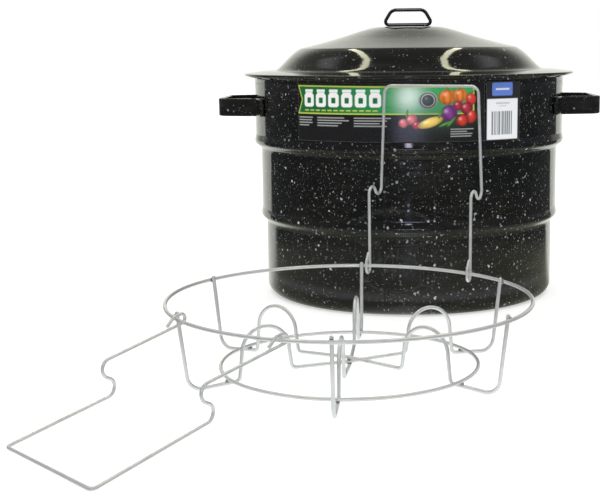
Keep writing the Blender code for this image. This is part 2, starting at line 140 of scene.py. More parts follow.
fades = {  # where one tone turns into the next: parts of the unit direction, or metres on the floor
    "frontHigh": (0.42, 0.60), "backHigh": (0.35, 0.62), "backEdge": (0.60, 0.70), "zenith": (0.76, 0.87),
    "dimmer": (0.80, 0.97, 0.40, 1.0), "ahead": (-0.3, -0.2, 1.0, 0.0),
    "near": (0.38, 0.64, 1.0, 0.0), "behind": (-0.03, 0.06), "streakEnd": (-0.42, -0.30, 1.0, 0.0),
    "close": (0.07, 0.16, 1.0, 0.0), "fromPot": (0.21, 0.26),
}
floorSet = {"leftSlope": 0.92, "rightSlope": 1.20, "sectorBack": 0.20, "middle": (0.0, -0.15, 0.0)}


def addMask(tree, value, low, high, soft):
    # one between two limits, fading to nought over a soft edge outside them
    rise = addRange(tree, value, low - soft, low)
    fall = addRange(tree, value, high, high + soft, 1.0, 0.0)
    return times(tree, rise, fall)


def makeWorld():
    # white backdrop to the eye, even fill on matt surfaces; in mirrors a dim front, a white back, a small
    # flash over the camera, a narrow window below it and a soft sheen level with it
    world = bpy.data.worlds.new("studioWorld")
    world.use_nodes = True
    tree = world.node_tree
    tree.nodes.clear()
    path = addNode(tree, "ShaderNodeLightPath")
    towards = addNode(tree, "ShaderNodeTexCoord").outputs["Generated"]
    parts = addNode(tree, "ShaderNodeSeparateXYZ", {0: towards})
    x, y, z = parts.outputs["X"], parts.outputs["Y"], parts.outputs["Z"]
    level = addMath(tree, "SQRT", plus(tree, times(tree, x, x), times(tree, y, y)))
    backward = addMath(tree, "DIVIDE", y, addMath(tree, "MAXIMUM", level, 0.001))
    sideways = addMath(tree, "DIVIDE", x, addMath(tree, "MAXIMUM", level, 0.001))
    front = addMix(tree, addRange(tree, z, *fades["frontHigh"]), studio["mirrorFront"],
                   studio["mirrorFrontHigh"])
    back = addMix(tree, addRange(tree, z, *fades["backHigh"]), studio["mirrorBack"],
                  studio["mirrorBackHigh"])
    dimmer = addRange(tree, backward, *fades["dimmer"])
    back = addMix(tree, 1.0, back,
                  addNode(tree, "ShaderNodeCombineColor", {0: dimmer, 1: dimmer, 2: dimmer}).outputs[0],
                  "MULTIPLY")
    mirror = addMix(tree, addRange(tree, backward, *fades["backEdge"]), front, back)
    mirror = addMix(tree, addRange(tree, z, *fades["zenith"]), mirror, studio["mirrorZenith"])
    ahead = addRange(tree, y, *fades["ahead"])
    narrow = times(tree, addMask(tree, sideways, *masks["narrow"]), ahead)
    flash = times(tree, narrow, addMask(tree, z, *masks["flash"]))
    window = times(tree, narrow, addMask(tree, z, *masks["window"]))
    mirror = addMix(tree, flash, mirror, studio["flash"])
    mirror = addMix(tree, window, mirror, studio["window"])
    sheen = times(tree, addMask(tree, sideways, *masks["sheenAcross"]), ahead)
    sheen = times(tree, sheen, addMask(tree, z, *masks["sheen"]))
    mirror = addMix(tree, sheen, mirror, studio["sheen"])
    fill = addMix(tree, path.outputs["Is Glossy Ray"], studio["fill"], mirror)
    seen = addMix(tree, path.outputs["Is Camera Ray"], fill, studio["backdrop"])
    strength = addMath(tree, "MAXIMUM", path.outputs["Is Camera Ray"], path.outputs["Is Glossy Ray"])
    strength = addRange(tree, strength, 0.0, 1.0, studio["fillStrength"], 1.0, "LINEAR")
    sky = addNode(tree, "ShaderNodeBackground", {"Color": seen, "Strength": strength})
    out = addNode(tree, "ShaderNodeOutputWorld")
    tree.links.new(sky.outputs[0], out.inputs["Surface"])
    bpy.context.scene.world = world


def makeFloor():
    # a flat sheet under the object, pale to the eye; in mirrors it is light close to the rack's wires and
    # behind the pot, with a faint streak in front, and dim elsewhere
    mesh = bpy.data.meshes.new("floorSheet")
    mesh.from_pydata([(-6, -1.15, 0), (6, -1.15, 0), (6, 7, 0), (-6, 7, 0)], [], [(0, 1, 2, 3)])
    floor = bpy.data.objects.new("floorSheet", mesh)
    bpy.context.scene.collection.objects.link(floor)
    material = bpy.data.materials.new("paleFloor")
    material.use_nodes = True
    tree = material.node_tree
    tree.nodes.clear()
    path = addNode(tree, "ShaderNodeLightPath")
    place = addNode(tree, "ShaderNodeTexCoord").outputs["Object"]
    parts = addNode(tree, "ShaderNodeSeparateXYZ", {0: place})
    x, y = parts.outputs["X"], parts.outputs["Y"]
    grain = addNoise(tree, place, 40.0, 4.0)
    tone = addMix(tree, addRange(tree, grain, 0.3, 0.7, 0.0, 0.05), studio["floorColour"],
                  (0.7, 0.7, 0.69, 1))
    matt = addNode(tree, "ShaderNodeBsdfDiffuse", {"Color": tone})
    glow = addNode(tree, "ShaderNodeEmission",
                   {"Color": studio["backdrop"], "Strength": studio["floorGlow"]})
    seen = addNode(tree, "ShaderNodeAddShader", {0: matt.outputs[0], 1: glow.outputs[0]})
    away = addNode(tree, "ShaderNodeVectorMath", {0: place, 1: floorSet["middle"]},
                   operation="DISTANCE").outputs["Value"]
    near = addRange(tree, away, *fades["near"])
    leftEdge = plus(tree, y, times(tree, x, floorSet["leftSlope"]))
    rightEdge = addMath(tree, "SUBTRACT", y, times(tree, x, floorSet["rightSlope"]))
    sector = plus(tree, addMath(tree, "MINIMUM", leftEdge, rightEdge), floorSet["sectorBack"])
    behind = addRange(tree, sector, *fades["behind"])
    streak = times(tree, addMask(tree, x, *masks["streak"]), addRange(tree, y, *fades["streakEnd"]))
    close = addRange(tree, path.outputs["Ray Length"], *fades["close"])
    mirrorTone = addMix(tree, near, studio["floorMirror"], studio["floorMirrorNear"])
    mirrorTone = addMix(tree, behind, mirrorTone, studio["floorMirrorBack"])
    mirrorTone = addMix(tree, streak, mirrorTone, studio["floorStreak"], "ADD")
    fromPot = addNode(tree, "ShaderNodeVectorMath", {0: place, 1: (0.0, 0.0, 0.0)},
                      operation="DISTANCE").outputs["Value"]
    close = times(tree, close, addRange(tree, fromPot, *fades["fromPot"]))
    mirrorTone = addMix(tree, times(tree, close, near), mirrorTone, studio["floorMirrorClose"])
    dim = addNode(tree, "ShaderNodeEmission", {"Color": mirrorTone, "Strength": 1.0})
    mirrored = addNode(tree, "ShaderNodeMixShader", {0: path.outputs["Is Glossy Ray"],
                                                     1: seen.outputs[0], 2: dim.outputs[0]})
    out = addNode(tree, "ShaderNodeOutputMaterial")
    tree.links.new(mirrored.outputs[0], out.inputs["Surface"])
    mesh.materials.append(material)


tubeSet = {"left": -0.74, "right": 0.64, "middle": 0.3, "height": 2.25, "wide": 0.125, "long": 2.5,
           "power": 7.0, "colour": (1.0, 1.0, 0.72)}


def makeLamps():
    # two long tubes overhead, running from front to back on either side, shining down
    for side in ("left", "right"):
        data = bpy.data.lights.new("overheadTube", "AREA")
        data.shape = "RECTANGLE"
        data.size = tubeSet["wide"]
        data.size_y = tubeSet["long"]
        data.energy = tubeSet["power"]
        data.color = tubeSet["colour"]
        lamp = bpy.data.objects.new("overheadTube", data)
        lamp.location = (tubeSet[side], tubeSet["middle"], tubeSet["height"])
        bpy.context.scene.collection.objects.link(lamp)


makeCamera()
makeWorld()
makeFloor()
makeLamps()
bpy.context.scene.view_settings.view_transform = "Standard"
print("canner: studio ready")


def arcPoints(centre, radius, start, end, steps):
    # centre plus radius times (cos, sin), from one angle in degrees to another
    angle = np.radians(np.linspace(start, end, steps + 1))
    return np.stack([centre[0] + radius * np.cos(angle), centre[1] + radius * np.sin(angle)], 1)


def softCurve(points, perSpan):
    # centripetal Catmull-Rom curve: knots at the square root of the chord, three rounds of linear blends
    p = np.asarray(points, float)
    q = np.vstack([2 * p[0] - p[1], p, 2 * p[-1] - p[-2]])
    a, b, c, d = q[:-3, None], q[1:-2, None], q[2:-1, None], q[3:, None]
    t1 = np.linalg.norm(b - a, axis=2, keepdims=True) ** 0.5
    t2 = t1 + np.linalg.norm(c - b, axis=2, keepdims=True) ** 0.5
    t3 = t2 + np.linalg.norm(d - c, axis=2, keepdims=True) ** 0.5
    t = t1 + (t2 - t1) * np.linspace(0, 1, perSpan, endpoint=False)[None, :, None]
    ab = (t1 - t) / t1 * a + t / t1 * b
    bc = (t2 - t) / (t2 - t1) * b + (t - t1) / (t2 - t1) * c
    cd = (t3 - t) / (t3 - t2) * c + (t - t2) / (t3 - t2) * d
    abc = (t2 - t) / t2 * ab + t / t2 * bc
    bcd = (t3 - t) / (t3 - t1) * bc + (t - t1) / (t3 - t1) * cd
    curve = (t2 - t) / (t2 - t1) * abc + (t - t1) / (t2 - t1) * bcd
    return np.vstack([curve.reshape(-1, p.shape[1]), p[-1:]])


def roundedRoute(corners, radii, steps=9):
    # each inner corner becomes an arc tangent to both runs: centre on the bisector, ends at
    # radius / tan(half angle)
    corners = [np.asarray(corner, float) for corner in corners]
    pieces = [corners[0][None]]
    for before, corner, after, radius in zip(corners, corners[1:], corners[2:], radii):
        back, ahead = before - corner, after - corner
        backLong, aheadLong = np.linalg.norm(back), np.linalg.norm(ahead)
        back, ahead = back / backLong, ahead / aheadLong
        half = math.acos(max(-1.0, min(1.0, float(back @ ahead)))) / 2
        if radius <= 0 or math.pi / 2 - half < 1e-4:
            pieces.append(corner[None])
            continue
        trim = min(radius / math.tan(half), min(backLong, aheadLong) * 0.9)
        radius = trim * math.tan(half)
        middle = (back + ahead) / np.linalg.norm(back + ahead)
        centre = corner + middle * radius / math.sin(half)
        side = (back - middle * (back @ middle))
        side = side / np.linalg.norm(side)
        sweep = np.linspace(half - math.pi / 2, math.pi / 2 - half, steps + 1)[:, None]
        pieces.append(centre - radius * (middle * np.cos(sweep) + side * np.sin(sweep)))
    pieces.append(corners[-1][None])
    return np.vstack(pieces)


def evenRoute(points, spacing, closed=False):
    # the same line with points at equal distances along it
    points = np.vstack([points, points[:1]]) if closed else points
    run = np.concatenate([[0], np.cumsum(np.linalg.norm(np.diff(points, axis=0), axis=1))])
    count = max(8, int(round(run[-1] / spacing)))
    at = np.linspace(0, run[-1], count, endpoint=not closed)
    return np.stack([np.interp(at, run, points[:, k]) for k in range(points.shape[1])], 1)


def turned(points, angle, first=0, second=1):
    # two of the three coordinates turned by an angle: (a cos - b sin, a sin + b cos)
    c, s = np.cos(angle), np.sin(angle)
    a, b = points[..., first], points[..., second]
    moved = np.array(points, float)
    moved[..., first], moved[..., second] = a * c - b * s, a * s + b * c
    return moved


def unit(vectors):
    # each vector divided by its own length
    return vectors / np.maximum(np.linalg.norm(vectors, axis=-1, keepdims=True), 1e-12)


def sideLine(line, distance):
    # each point moved along the mean normal of its two runs
    run = unit(np.diff(line, axis=0))
    mean = unit(np.vstack([run[:1], run[:-1] + run[1:], run[-1:]]))
    moved = line + distance * np.stack([mean[:, 1], -mean[:, 0]], 1)
    moved[:, 0] = np.maximum(moved[:, 0], 0)
    return moved


def gridPiece(name, points, wrapAcross=False, wrapAlong=False, spacing=None, merge=True):
    # rows by columns of points made into quads, with a UV map in metres along and across
    rows, columns = points.shape[:2]
    down = np.arange(rows if wrapAlong else rows - 1)
    over = np.arange(columns if wrapAcross else columns - 1)
    i, j = np.meshgrid(down, over, indexing="ij")
    nextRow, nextColumn = (i + 1) % rows, (j + 1) % columns
    quads = np.stack([i * columns + j, i * columns + nextColumn,
                      nextRow * columns + nextColumn, nextRow * columns + j], -1).reshape(-1, 4)
    mesh = bpy.data.meshes.new(name)
    mesh.vertices.add(rows * columns)
    mesh.vertices.foreach_set("co", points.reshape(-1).astype(np.float32))
    mesh.loops.add(quads.size)
    mesh.loops.foreach_set("vertex_index", quads.reshape(-1).astype(np.int32))
    mesh.polygons.add(len(quads))
    mesh.polygons.foreach_set("loop_start", np.arange(0, quads.size, 4, dtype=np.int32))
    mesh.polygons.foreach_set("loop_total", np.full(len(quads), 4, np.int32))
    mesh.update(calc_edges=True)
    if spacing is not None:
        along, across = spacing
        u = np.stack([i, i, i + 1, i + 1], -1).reshape(-1) * along
        v = np.stack([j, j + 1, j + 1, j], -1).reshape(-1) * across
        mesh.uv_layers.new(name="surfaceMap").data.foreach_set(
            "uv", np.stack([u, v], 1).reshape(-1).astype(np.float32))
    work = bmesh.new()
    work.from_mesh(mesh)
    if merge:
        bmesh.ops.remove_doubles(work, verts=work.verts, dist=2e-7)
        bmesh.ops.recalc_face_normals(work, faces=work.faces)
    work.to_mesh(mesh)
    work.free()
    mesh.polygons.foreach_set("use_smooth", np.ones(len(mesh.polygons), bool))
    mesh.update()
    piece = bpy.data.objects.new(name, mesh)
    bpy.context.scene.collection.objects.link(piece)
    return piece


def turnedPiece(name, profile, steps):
    # radius and height turned about Z: (r cos a, r sin a, z)
    angle = np.linspace(0, 2 * math.pi, steps, endpoint=False)
    radius, height = profile[:, :1], profile[:, 1:]
    points = np.stack([radius * np.cos(angle), radius * np.sin(angle), height + 0 * angle], -1)
    return gridPiece(name, points, wrapAcross=True)


def sweptPoints(route, section, lean, closed, widths=None):
    # the section (side, lift) carried along the route: side lies across the tangent and the lean direction
    if closed:
        tangent = unit(np.roll(route, -1, 0) - np.roll(route, 1, 0))
    else:
        tangent = unit(np.gradient(route, axis=0))
    side = unit(np.cross(tangent, np.asarray(lean, float)))
    lift = np.cross(side, tangent)
    widths = np.ones((len(route), 2)) if widths is None else widths
    return (route[:, None] + side[:, None] * (section[None, :, :1] * widths[:, None, :1])
            + lift[:, None] * (section[None, :, 1:] * widths[:, None, 1:]))


def wirePiece(name, route, radius, closed=False, lean=(0.577, 0.577, 0.577), sides=14, spacing=0.0012):
    # a round section carried along the route, with rounded ends: shrinking rings up to a pole
    route = evenRoute(route, spacing, closed)
    ring = np.radians(np.arange(sides) * 360 / sides)
    section = radius * np.stack([np.cos(ring), np.sin(ring)], 1)
    widths = np.ones((len(route), 2))
    if not closed:
        bend = np.radians(np.array([90, 72, 54, 36, 18]))
        startWay, endWay = unit(route[0] - route[1]), unit(route[-1] - route[-2])
        push = 0.7 * radius * np.sin(bend)[:, None]
        route = np.vstack([route[0] + startWay * push, route, route[-1] + endWay * push[::-1]])
        taper = np.cos(bend)[:, None] * np.ones((1, 2))
        widths = np.vstack([taper, widths, taper[::-1]])
    points = sweptPoints(route, section, lean, closed, widths)
    return gridPiece(name, points, wrapAcross=True, wrapAlong=closed, spacing=(spacing, 1 / sides))


def bandSection(thick, tall, corner, steps=5):
    # a rounded rectangle: four quarter arcs about its corner centres
    offsetX, offsetY = thick / 2 - corner, tall / 2 - corner
    arcs = [arcPoints((sx * offsetX, sy * offsetY), corner, start, start + 90, steps)
            for sx, sy, start in ((1, 1, 0), (-1, 1, 90), (-1, -1, 180), (1, -1, 270))]
    return np.vstack(arcs)


def newGroup(name, inputs, outputs):
    # an empty shader node group with its sockets: (name, kind, default)
    tree = bpy.data.node_groups.new(name, "ShaderNodeTree")
    for label, kind, value in inputs:
        socket = tree.interface.new_socket(label, in_out="INPUT", socket_type=kind)
        if value is not None:
            socket.default_value = value
    for label, kind in outputs:
        tree.interface.new_socket(label, in_out="OUTPUT", socket_type=kind)
    return tree, tree.nodes.new("NodeGroupInput"), tree.nodes.new("NodeGroupOutput")


def makeSpeckleGroup():
    # white flecks: cells whose centre is nearer than a random radius, bent by noise so that none is round
    tree, given, result = newGroup(
        "enamelSpeckle",
        [("Vector", "NodeSocketVector", None), ("Cells", "NodeSocketFloat", 200.0),
         ("Size", "NodeSocketFloat", 0.3), ("Share", "NodeSocketFloat", 0.5),
         ("Ragged", "NodeSocketFloat", 0.3)],
        [("Mask", "NodeSocketFloat"), ("Tone", "NodeSocketFloat")])
    scaled = addNode(tree, "ShaderNodeVectorMath",
                     {0: given.outputs["Vector"], "Scale": given.outputs["Cells"]},
                     operation="SCALE").outputs[0]
    ragged = addNode(tree, "ShaderNodeTexNoise",
                     {"Vector": scaled, "Scale": 2.6, "Detail": 2.0}).outputs["Color"]
    centred = addNode(tree, "ShaderNodeVectorMath", {0: ragged, 1: (0.5, 0.5, 0.5)},
                      operation="SUBTRACT").outputs[0]
    push = addNode(tree, "ShaderNodeVectorMath", {0: centred, "Scale": given.outputs["Ragged"]},
                   operation="SCALE").outputs[0]
    bent = addNode(tree, "ShaderNodeVectorMath", {0: scaled, 1: push}, operation="ADD").outputs[0]
    cells = addNode(tree, "ShaderNodeTexVoronoi", {"Vector": bent, "Scale": 1.0}, feature="F1")
    chance = addNode(tree, "ShaderNodeSeparateColor", {0: cells.outputs["Color"]})
    radius = times(tree, addMath(tree, "POWER", chance.outputs[0], 2.2), given.outputs["Size"])
    radius = plus(tree, radius, times(tree, given.outputs["Size"], 0.35))
    edge = addMath(tree, "SUBTRACT", radius, cells.outputs["Distance"])
    fleck = addRange(tree, edge, 0.0, 0.07)
    kept = addMath(tree, "LESS_THAN", chance.outputs[1], given.outputs["Share"])
    tree.links.new(times(tree, fleck, kept), result.inputs["Mask"])
    tree.links.new(chance.outputs[2], result.inputs["Tone"])
    return tree


def makeFilmGroup():
    # a thin uneven film of dust and wiping marks: two noises multiplied, stronger on faces that look up
    tree, given, result = newGroup(
        "handledFilm",
        [("Vector", "NodeSocketVector", None), ("Patch", "NodeSocketFloat", 14.0),
         ("Upward", "NodeSocketFloat", 0.3)],
        [("Mask", "NodeSocketFloat")])
    wide = addNode(tree, "ShaderNodeTexNoise",
                   {"Vector": given.outputs["Vector"], "Scale": given.outputs["Patch"],
                    "Detail": 5.0, "Roughness": 0.6}).outputs["Fac"]
    smear = addNode(tree, "ShaderNodeMapping",
                    {"Vector": given.outputs["Vector"], "Scale": (9.0, 9.0, 60.0)})
    fine = addNoise(tree, smear.outputs[0], 4.0, 3.0)
    both = times(tree, addRange(tree, wide, 0.35, 0.75), addRange(tree, fine, 0.3, 0.8))
    up = addNode(tree, "ShaderNodeSeparateXYZ",
                 {0: addNode(tree, "ShaderNodeNewGeometry").outputs["Normal"]})
    lying = times(tree, addRange(tree, up.outputs["Z"], 0.2, 1.0), given.outputs["Upward"])
    tree.links.new(addMath(tree, "ADD", both, lying, clamp=True), result.inputs["Mask"])
    return tree


def makeWearGroup():
    # edge wear: how sharply the surface turns outward, broken up by noise
    tree, given, result = newGroup(
        "edgeWear",
        [("Vector", "NodeSocketVector", None), ("From", "NodeSocketFloat", 0.52),
         ("To", "NodeSocketFloat", 0.60), ("Grain", "NodeSocketFloat", 300.0)],
        [("Mask", "NodeSocketFloat")])
    turn = addNode(tree, "ShaderNodeNewGeometry").outputs["Pointiness"]
    noise = addNode(tree, "ShaderNodeTexNoise", {"Vector": given.outputs["Vector"],
                                                 "Scale": given.outputs["Grain"],
                                                 "Detail": 3.0}).outputs["Fac"]
    shifted = plus(tree, turn, times(tree, addMath(tree, "SUBTRACT", noise, 0.5), 0.05))
    rise = addMath(tree, "DIVIDE", addMath(tree, "SUBTRACT", shifted, given.outputs["From"]),
                   addMath(tree, "SUBTRACT", given.outputs["To"], given.outputs["From"]), clamp=True)
    tree.links.new(rise, result.inputs["Mask"])
    return tree


def makeDrawnGroup():
    # drawing lines along a wire: noise stretched along the UV map's first axis, plus mottled oxide
    tree, given, result = newGroup(
        "drawnWire",
        [("Vector", "NodeSocketVector", None), ("Place", "NodeSocketVector", None),
         ("Mottle", "NodeSocketFloat", 90.0)],
        [("Lines", "NodeSocketFloat"), ("Oxide", "NodeSocketFloat")])
    stretched = addNode(tree, "ShaderNodeMapping",
                        {"Vector": given.outputs["Vector"], "Scale": (60.0, 9.0, 1.0)})
    lines = addNoise(tree, stretched.outputs[0], 2.0, 4.0)
    cloud = addNode(tree, "ShaderNodeTexNoise", {"Vector": given.outputs["Place"],
                                                 "Scale": given.outputs["Mottle"],
                                                 "Detail": 5.0}).outputs["Fac"]
    wide = addNoise(tree, given.outputs["Place"], 16.0, 2.0)
    oxide = times(tree, addRange(tree, cloud, 0.45, 0.75), addRange(tree, wide, 0.35, 0.7))
    tree.links.new(lines, result.inputs["Lines"])
    tree.links.new(oxide, result.inputs["Oxide"])
    return tree


speckleGroup = makeSpeckleGroup()
filmGroup = makeFilmGroup()
wearGroup = makeWearGroup()
drawnGroup = makeDrawnGroup()


def newMaterial(name):
    # a material cleared down to its Principled shader, and the Object coordinates
    material = bpy.data.materials.new(name)
    material.use_nodes = True
    tree = material.node_tree
    place = addNode(tree, "ShaderNodeTexCoord").outputs["Object"]
    return material, tree, tree.nodes["Principled BSDF"], place


def useGroup(tree, group, inputs):
    return addNode(tree, "ShaderNodeGroup", inputs, node_tree=group)


def joinShader(tree, shader, colour, rough, height, strength, distance):
    # colour, roughness and a bump made from a height into the Principled shader
    bump = addNode(tree, "ShaderNodeBump", {"Height": height, "Strength": strength, "Distance": distance})
    tree.links.new(colour, shader.inputs["Base Color"])
    tree.links.new(rough, shader.inputs["Roughness"])
    tree.links.new(bump.outputs[0], shader.inputs["Normal"])


enamelSet = {
    "ground": (0.0034, 0.0038, 0.0040, 1), "groundWarm": (0.0052, 0.0052, 0.0040, 1),
    "fleck": (0.66, 0.70, 0.69, 1), "fleckDim": (0.13, 0.14, 0.14, 1),
    "layers": [  # cells per metre, size in cells, share of cells with a fleck, brightness
        (98.0, 0.145, 1.3, 0.95), (150.0, 0.200, 2.2, 0.82), (255.0, 0.26, 2.7, 0.62),
        (460.0, 0.30, 2.3, 0.42)],
    "roughness": (0.045, 0.12),
}


def makeEnamel(name, amount):
    # glossy black glass on steel with flecks of four sizes, thinner where a slow noise is low
    material, tree, shader, place = newMaterial(name)
    slow = addNoise(tree, place, 11.0, 3.0)
    drift = addNode(tree, "ShaderNodeMapping",
                    {"Vector": place, "Rotation": (0.0, 0.9, 0.4), "Scale": (22.0, 22.0, 70.0)})
    splash = addNoise(tree, drift.outputs[0], 1.0, 2.0)
    density = times(tree, addRange(tree, slow, 0.30, 0.62, 0.30, 1.0),
                    addRange(tree, splash, 0.30, 0.66, 0.40, 1.0))
    flecks = None
    for cells, size, share, bright in enamelSet["layers"]:
        shown = times(tree, density, share * amount)
        layer = useGroup(tree, speckleGroup, {"Vector": place, "Cells": cells, "Size": size, "Share": shown,
                                              "Ragged": 0.55})
        strength = times(tree, layer.outputs["Mask"],
                         addRange(tree, layer.outputs["Tone"], 0.0, 1.0, 0.22 * bright, bright, "LINEAR"))
        flecks = strength if flecks is None else addMath(tree, "MAXIMUM", flecks, strength)
    ground = addMix(tree, addRange(tree, slow, 0.35, 0.7), enamelSet["ground"], enamelSet["groundWarm"])
    fleck = addMix(tree, flecks, enamelSet["fleckDim"], enamelSet["fleck"])
    film = useGroup(tree, filmGroup, {"Vector": place, "Patch": 9.0, "Upward": 0.25})
    colour = addMix(tree, flecks, ground, fleck)
    dusty = addMix(tree, times(tree, film.outputs[0], 0.035), colour, (0.42, 0.41, 0.37, 1))
    rough = addRange(tree, film.outputs[0], 0.0, 1.0, *enamelSet["roughness"], "LINEAR")
    peel = addNoise(tree, place, 75.0, 2.0)
    ripple = addNoise(tree, place, 420.0, 2.0)
    height = plus(tree, peel, times(tree, ripple, 0.10))
    height = plus(tree, height, times(tree, flecks, 0.10))
    joinShader(tree, shader, dusty, rough, height, 0.24, 0.00035)
    shader.inputs["IOR"].default_value = 1.52
    shader.inputs["Coat Weight"].default_value = 0.35
    shader.inputs["Coat Roughness"].default_value = 0.04
    return material


wireSet = {"bright": (0.88, 0.89, 0.90, 1), "dull": (0.62, 0.64, 0.64, 1), "warm": (0.74, 0.71, 0.62, 1)}


def makeBrightWire(name):
    # plated steel wire: drawing lines, dull oxide patches and a little warm staining
    material, tree, shader, place = newMaterial(name)
    surface = addNode(tree, "ShaderNodeUVMap", uv_map="surfaceMap").outputs[0]
    drawn = useGroup(tree, drawnGroup, {"Vector": surface, "Place": place, "Mottle": 110.0})
    stain = addNoise(tree, place, 23.0, 3.0)
    colour = addMix(tree, addRange(tree, drawn.outputs["Lines"], 0.3, 0.75, 0.0, 0.40), wireSet["bright"],
                    wireSet["dull"])
    colour = addMix(tree, times(tree, drawn.outputs["Oxide"], 0.8), colour, wireSet["dull"])
    colour = addMix(tree, addRange(tree, stain, 0.55, 0.8, 0.0, 0.5), colour, wireSet["warm"])
    rough = plus(tree, addRange(tree, drawn.outputs["Lines"], 0.2, 0.8, 0.30, 0.40, "LINEAR"),
                 times(tree, drawn.outputs["Oxide"], 0.14))
    joinShader(tree, shader, colour, rough, drawn.outputs["Lines"], 0.12, 0.00010)
    shader.inputs["Metallic"].default_value = 0.72
    return material


def makeWeldMetal(name):
    # weld beads: rougher, darker metal with heat tint and fine pits
    material, tree, shader, place = newMaterial(name)
    cloud = addNoise(tree, place, 700.0, 4.0)
    film = useGroup(tree, filmGroup, {"Vector": place, "Patch": 60.0, "Upward": 0.1})
    colour = addMix(tree, addRange(tree, cloud, 0.3, 0.7), (0.52, 0.51, 0.48, 1), (0.26, 0.25, 0.23, 1))
    colour = addMix(tree, times(tree, film.outputs[0], 0.4), colour, (0.36, 0.30, 0.22, 1))
    joinShader(tree, shader, colour, addRange(tree, cloud, 0.2, 0.8, 0.30, 0.55, "LINEAR"), cloud, 0.5,
               0.0002)
    shader.inputs["Metallic"].default_value = 1.0
    return material


def makePrintedPaper(name, gloss):
    # coated paper: the printed colours, faint ink mottle, paper fibre and rubbed edges
    material, tree, shader, place = newMaterial(name)
    inks = addNode(tree, "ShaderNodeVertexColor", layer_name="printInk").outputs[0]
    fibre = addNoise(tree, place, 900.0, 4.0)
    cockle = addNoise(tree, place, 28.0, 2.0)
    film = useGroup(tree, filmGroup, {"Vector": place, "Patch": 18.0, "Upward": 0.0})
    rub = useGroup(tree, wearGroup, {"Vector": place, "From": 0.55, "To": 0.66, "Grain": 500.0})
    colour = addMix(tree, addRange(tree, fibre, 0.3, 0.7, 0.0, 0.12), inks, (0.5, 0.5, 0.5, 1), "OVERLAY")
    colour = addMix(tree, times(tree, rub.outputs[0], 0.5), colour, (0.70, 0.69, 0.66, 1))
    rough = plus(tree, times(tree, film.outputs[0], 0.16),
                 addRange(tree, fibre, 0.2, 0.8, gloss, gloss + 0.07, "LINEAR"))
    height = plus(tree, times(tree, fibre, 0.12), cockle)
    joinShader(tree, shader, colour, rough, height, 0.30, 0.0004)
    shader.inputs["Coat Weight"].default_value = 0.25
    shader.inputs["Coat Roughness"].default_value = 0.12
    return material


potEnamel = makeEnamel("potEnamel", 1.0)
lidEnamel = makeEnamel("lidEnamel", 0.38)
handleEnamel = makeEnamel("handleEnamel", 0.32)
brightWire = makeBrightWire("brightWire")
weldMetal = makeWeldMetal("weldMetal")
labelPaper = makePrintedPaper("labelPaper", 0.22)
stickerPaper = makePrintedPaper("stickerPaper", 0.32)
print("canner: finishes ready")


def finishPiece(piece, material, body, slot, *nodes):
    # gives the finish and the body it moves with, and hides the nodes it stands for; the record's slot is
    # not used
    piece.data.materials.append(material)
    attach(piece, body)
    if nodes:
        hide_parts(*nodes)
    return piece


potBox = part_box("pot_shell")
potSet = {
    "topTier": 0.1691, "middleTier": 0.1632, "bottomTier": 0.1587,
    "lowerStep": 0.0840, "upperStep": 0.1640, "stepTall": 0.0080, "bulge": 0.0012,
    "aboveStep": 0.0145, "belowStep": 0.0060, "baseCorner": 0.0125, "wall": 0.0012, "flare": 0.0032,
    "beadRadius": 0.0014,
    "rimRadius": potBox[1].x - 0.0001, "rimTop": 0.2414,
}


def stepLine(lower, upper, level):
    # one shoulder: in below, sharply out over a small bulge, then back to the tier's own radius
    tall, proud = potSet["stepTall"], upper + potSet["bulge"]
    return [(lower, level - tall * 0.50), (lower + (proud - lower) * 0.10, level - tall * 0.22),
            (lower + (proud - lower) * 0.52, level + tall * 0.12),
            (proud - (proud - lower) * 0.08, level + tall * 0.45),
            (proud, level + tall * 0.78), (proud - potSet["bulge"] * 0.4, level + tall * 1.20),
            (upper, level + tall * 1.62)]


def makePot():
    # outer line up, bead round the rim, inner line down, all turned about Z
    s = potSet
    corner = (s["bottomTier"] - s["baseCorner"], s["baseCorner"])
    flareCentre = (s["topTier"] + s["flare"], s["rimTop"] - s["beadRadius"] - s["wall"] - s["flare"])
    base = np.vstack([[(0.0, 0.0006), (0.05, 0.0005), (0.110, 0.0003), (corner[0] - 0.004, 0.00005)],
                      arcPoints(corner, s["baseCorner"], -90, 0, 12)])
    lowStep = softCurve(stepLine(s["bottomTier"], s["middleTier"], s["lowerStep"]), 5)
    highStep = softCurve(stepLine(s["middleTier"], s["topTier"], s["upperStep"]), 5)
    between = np.array([(s["middleTier"], z) for z in np.linspace(s["lowerStep"] + s["aboveStep"],
                                                                  s["upperStep"] - s["belowStep"], 6)])
    under = np.array([(s["bottomTier"], z) for z in np.linspace(s["baseCorner"] + 0.004,
                                                                s["lowerStep"] - s["belowStep"], 5)])
    upper = np.array([(s["topTier"], z) for z in np.linspace(s["upperStep"] + s["aboveStep"],
                                                             flareCentre[1] - 0.003, 5)])
    flare = arcPoints(flareCentre, s["flare"], 180, 90, 7)
    outer = np.vstack([base, under, lowStep, between, highStep, upper, flare])
    inner = sideLine(outer, -s["wall"])
    inner[0] = (0.0, outer[0, 1] + s["wall"])
    bead = arcPoints((s["rimRadius"] - s["beadRadius"], s["rimTop"] - s["beadRadius"]), s["beadRadius"],
                     -110, 150, 16)
    profile = np.vstack([outer, bead, inner[::-1]])
    pot = turnedPiece("potShell", profile, 216)
    return finishPiece(pot, potEnamel, "pot", "speckled_enamel", "pot_shell")


makePot()
print("canner: pot made")


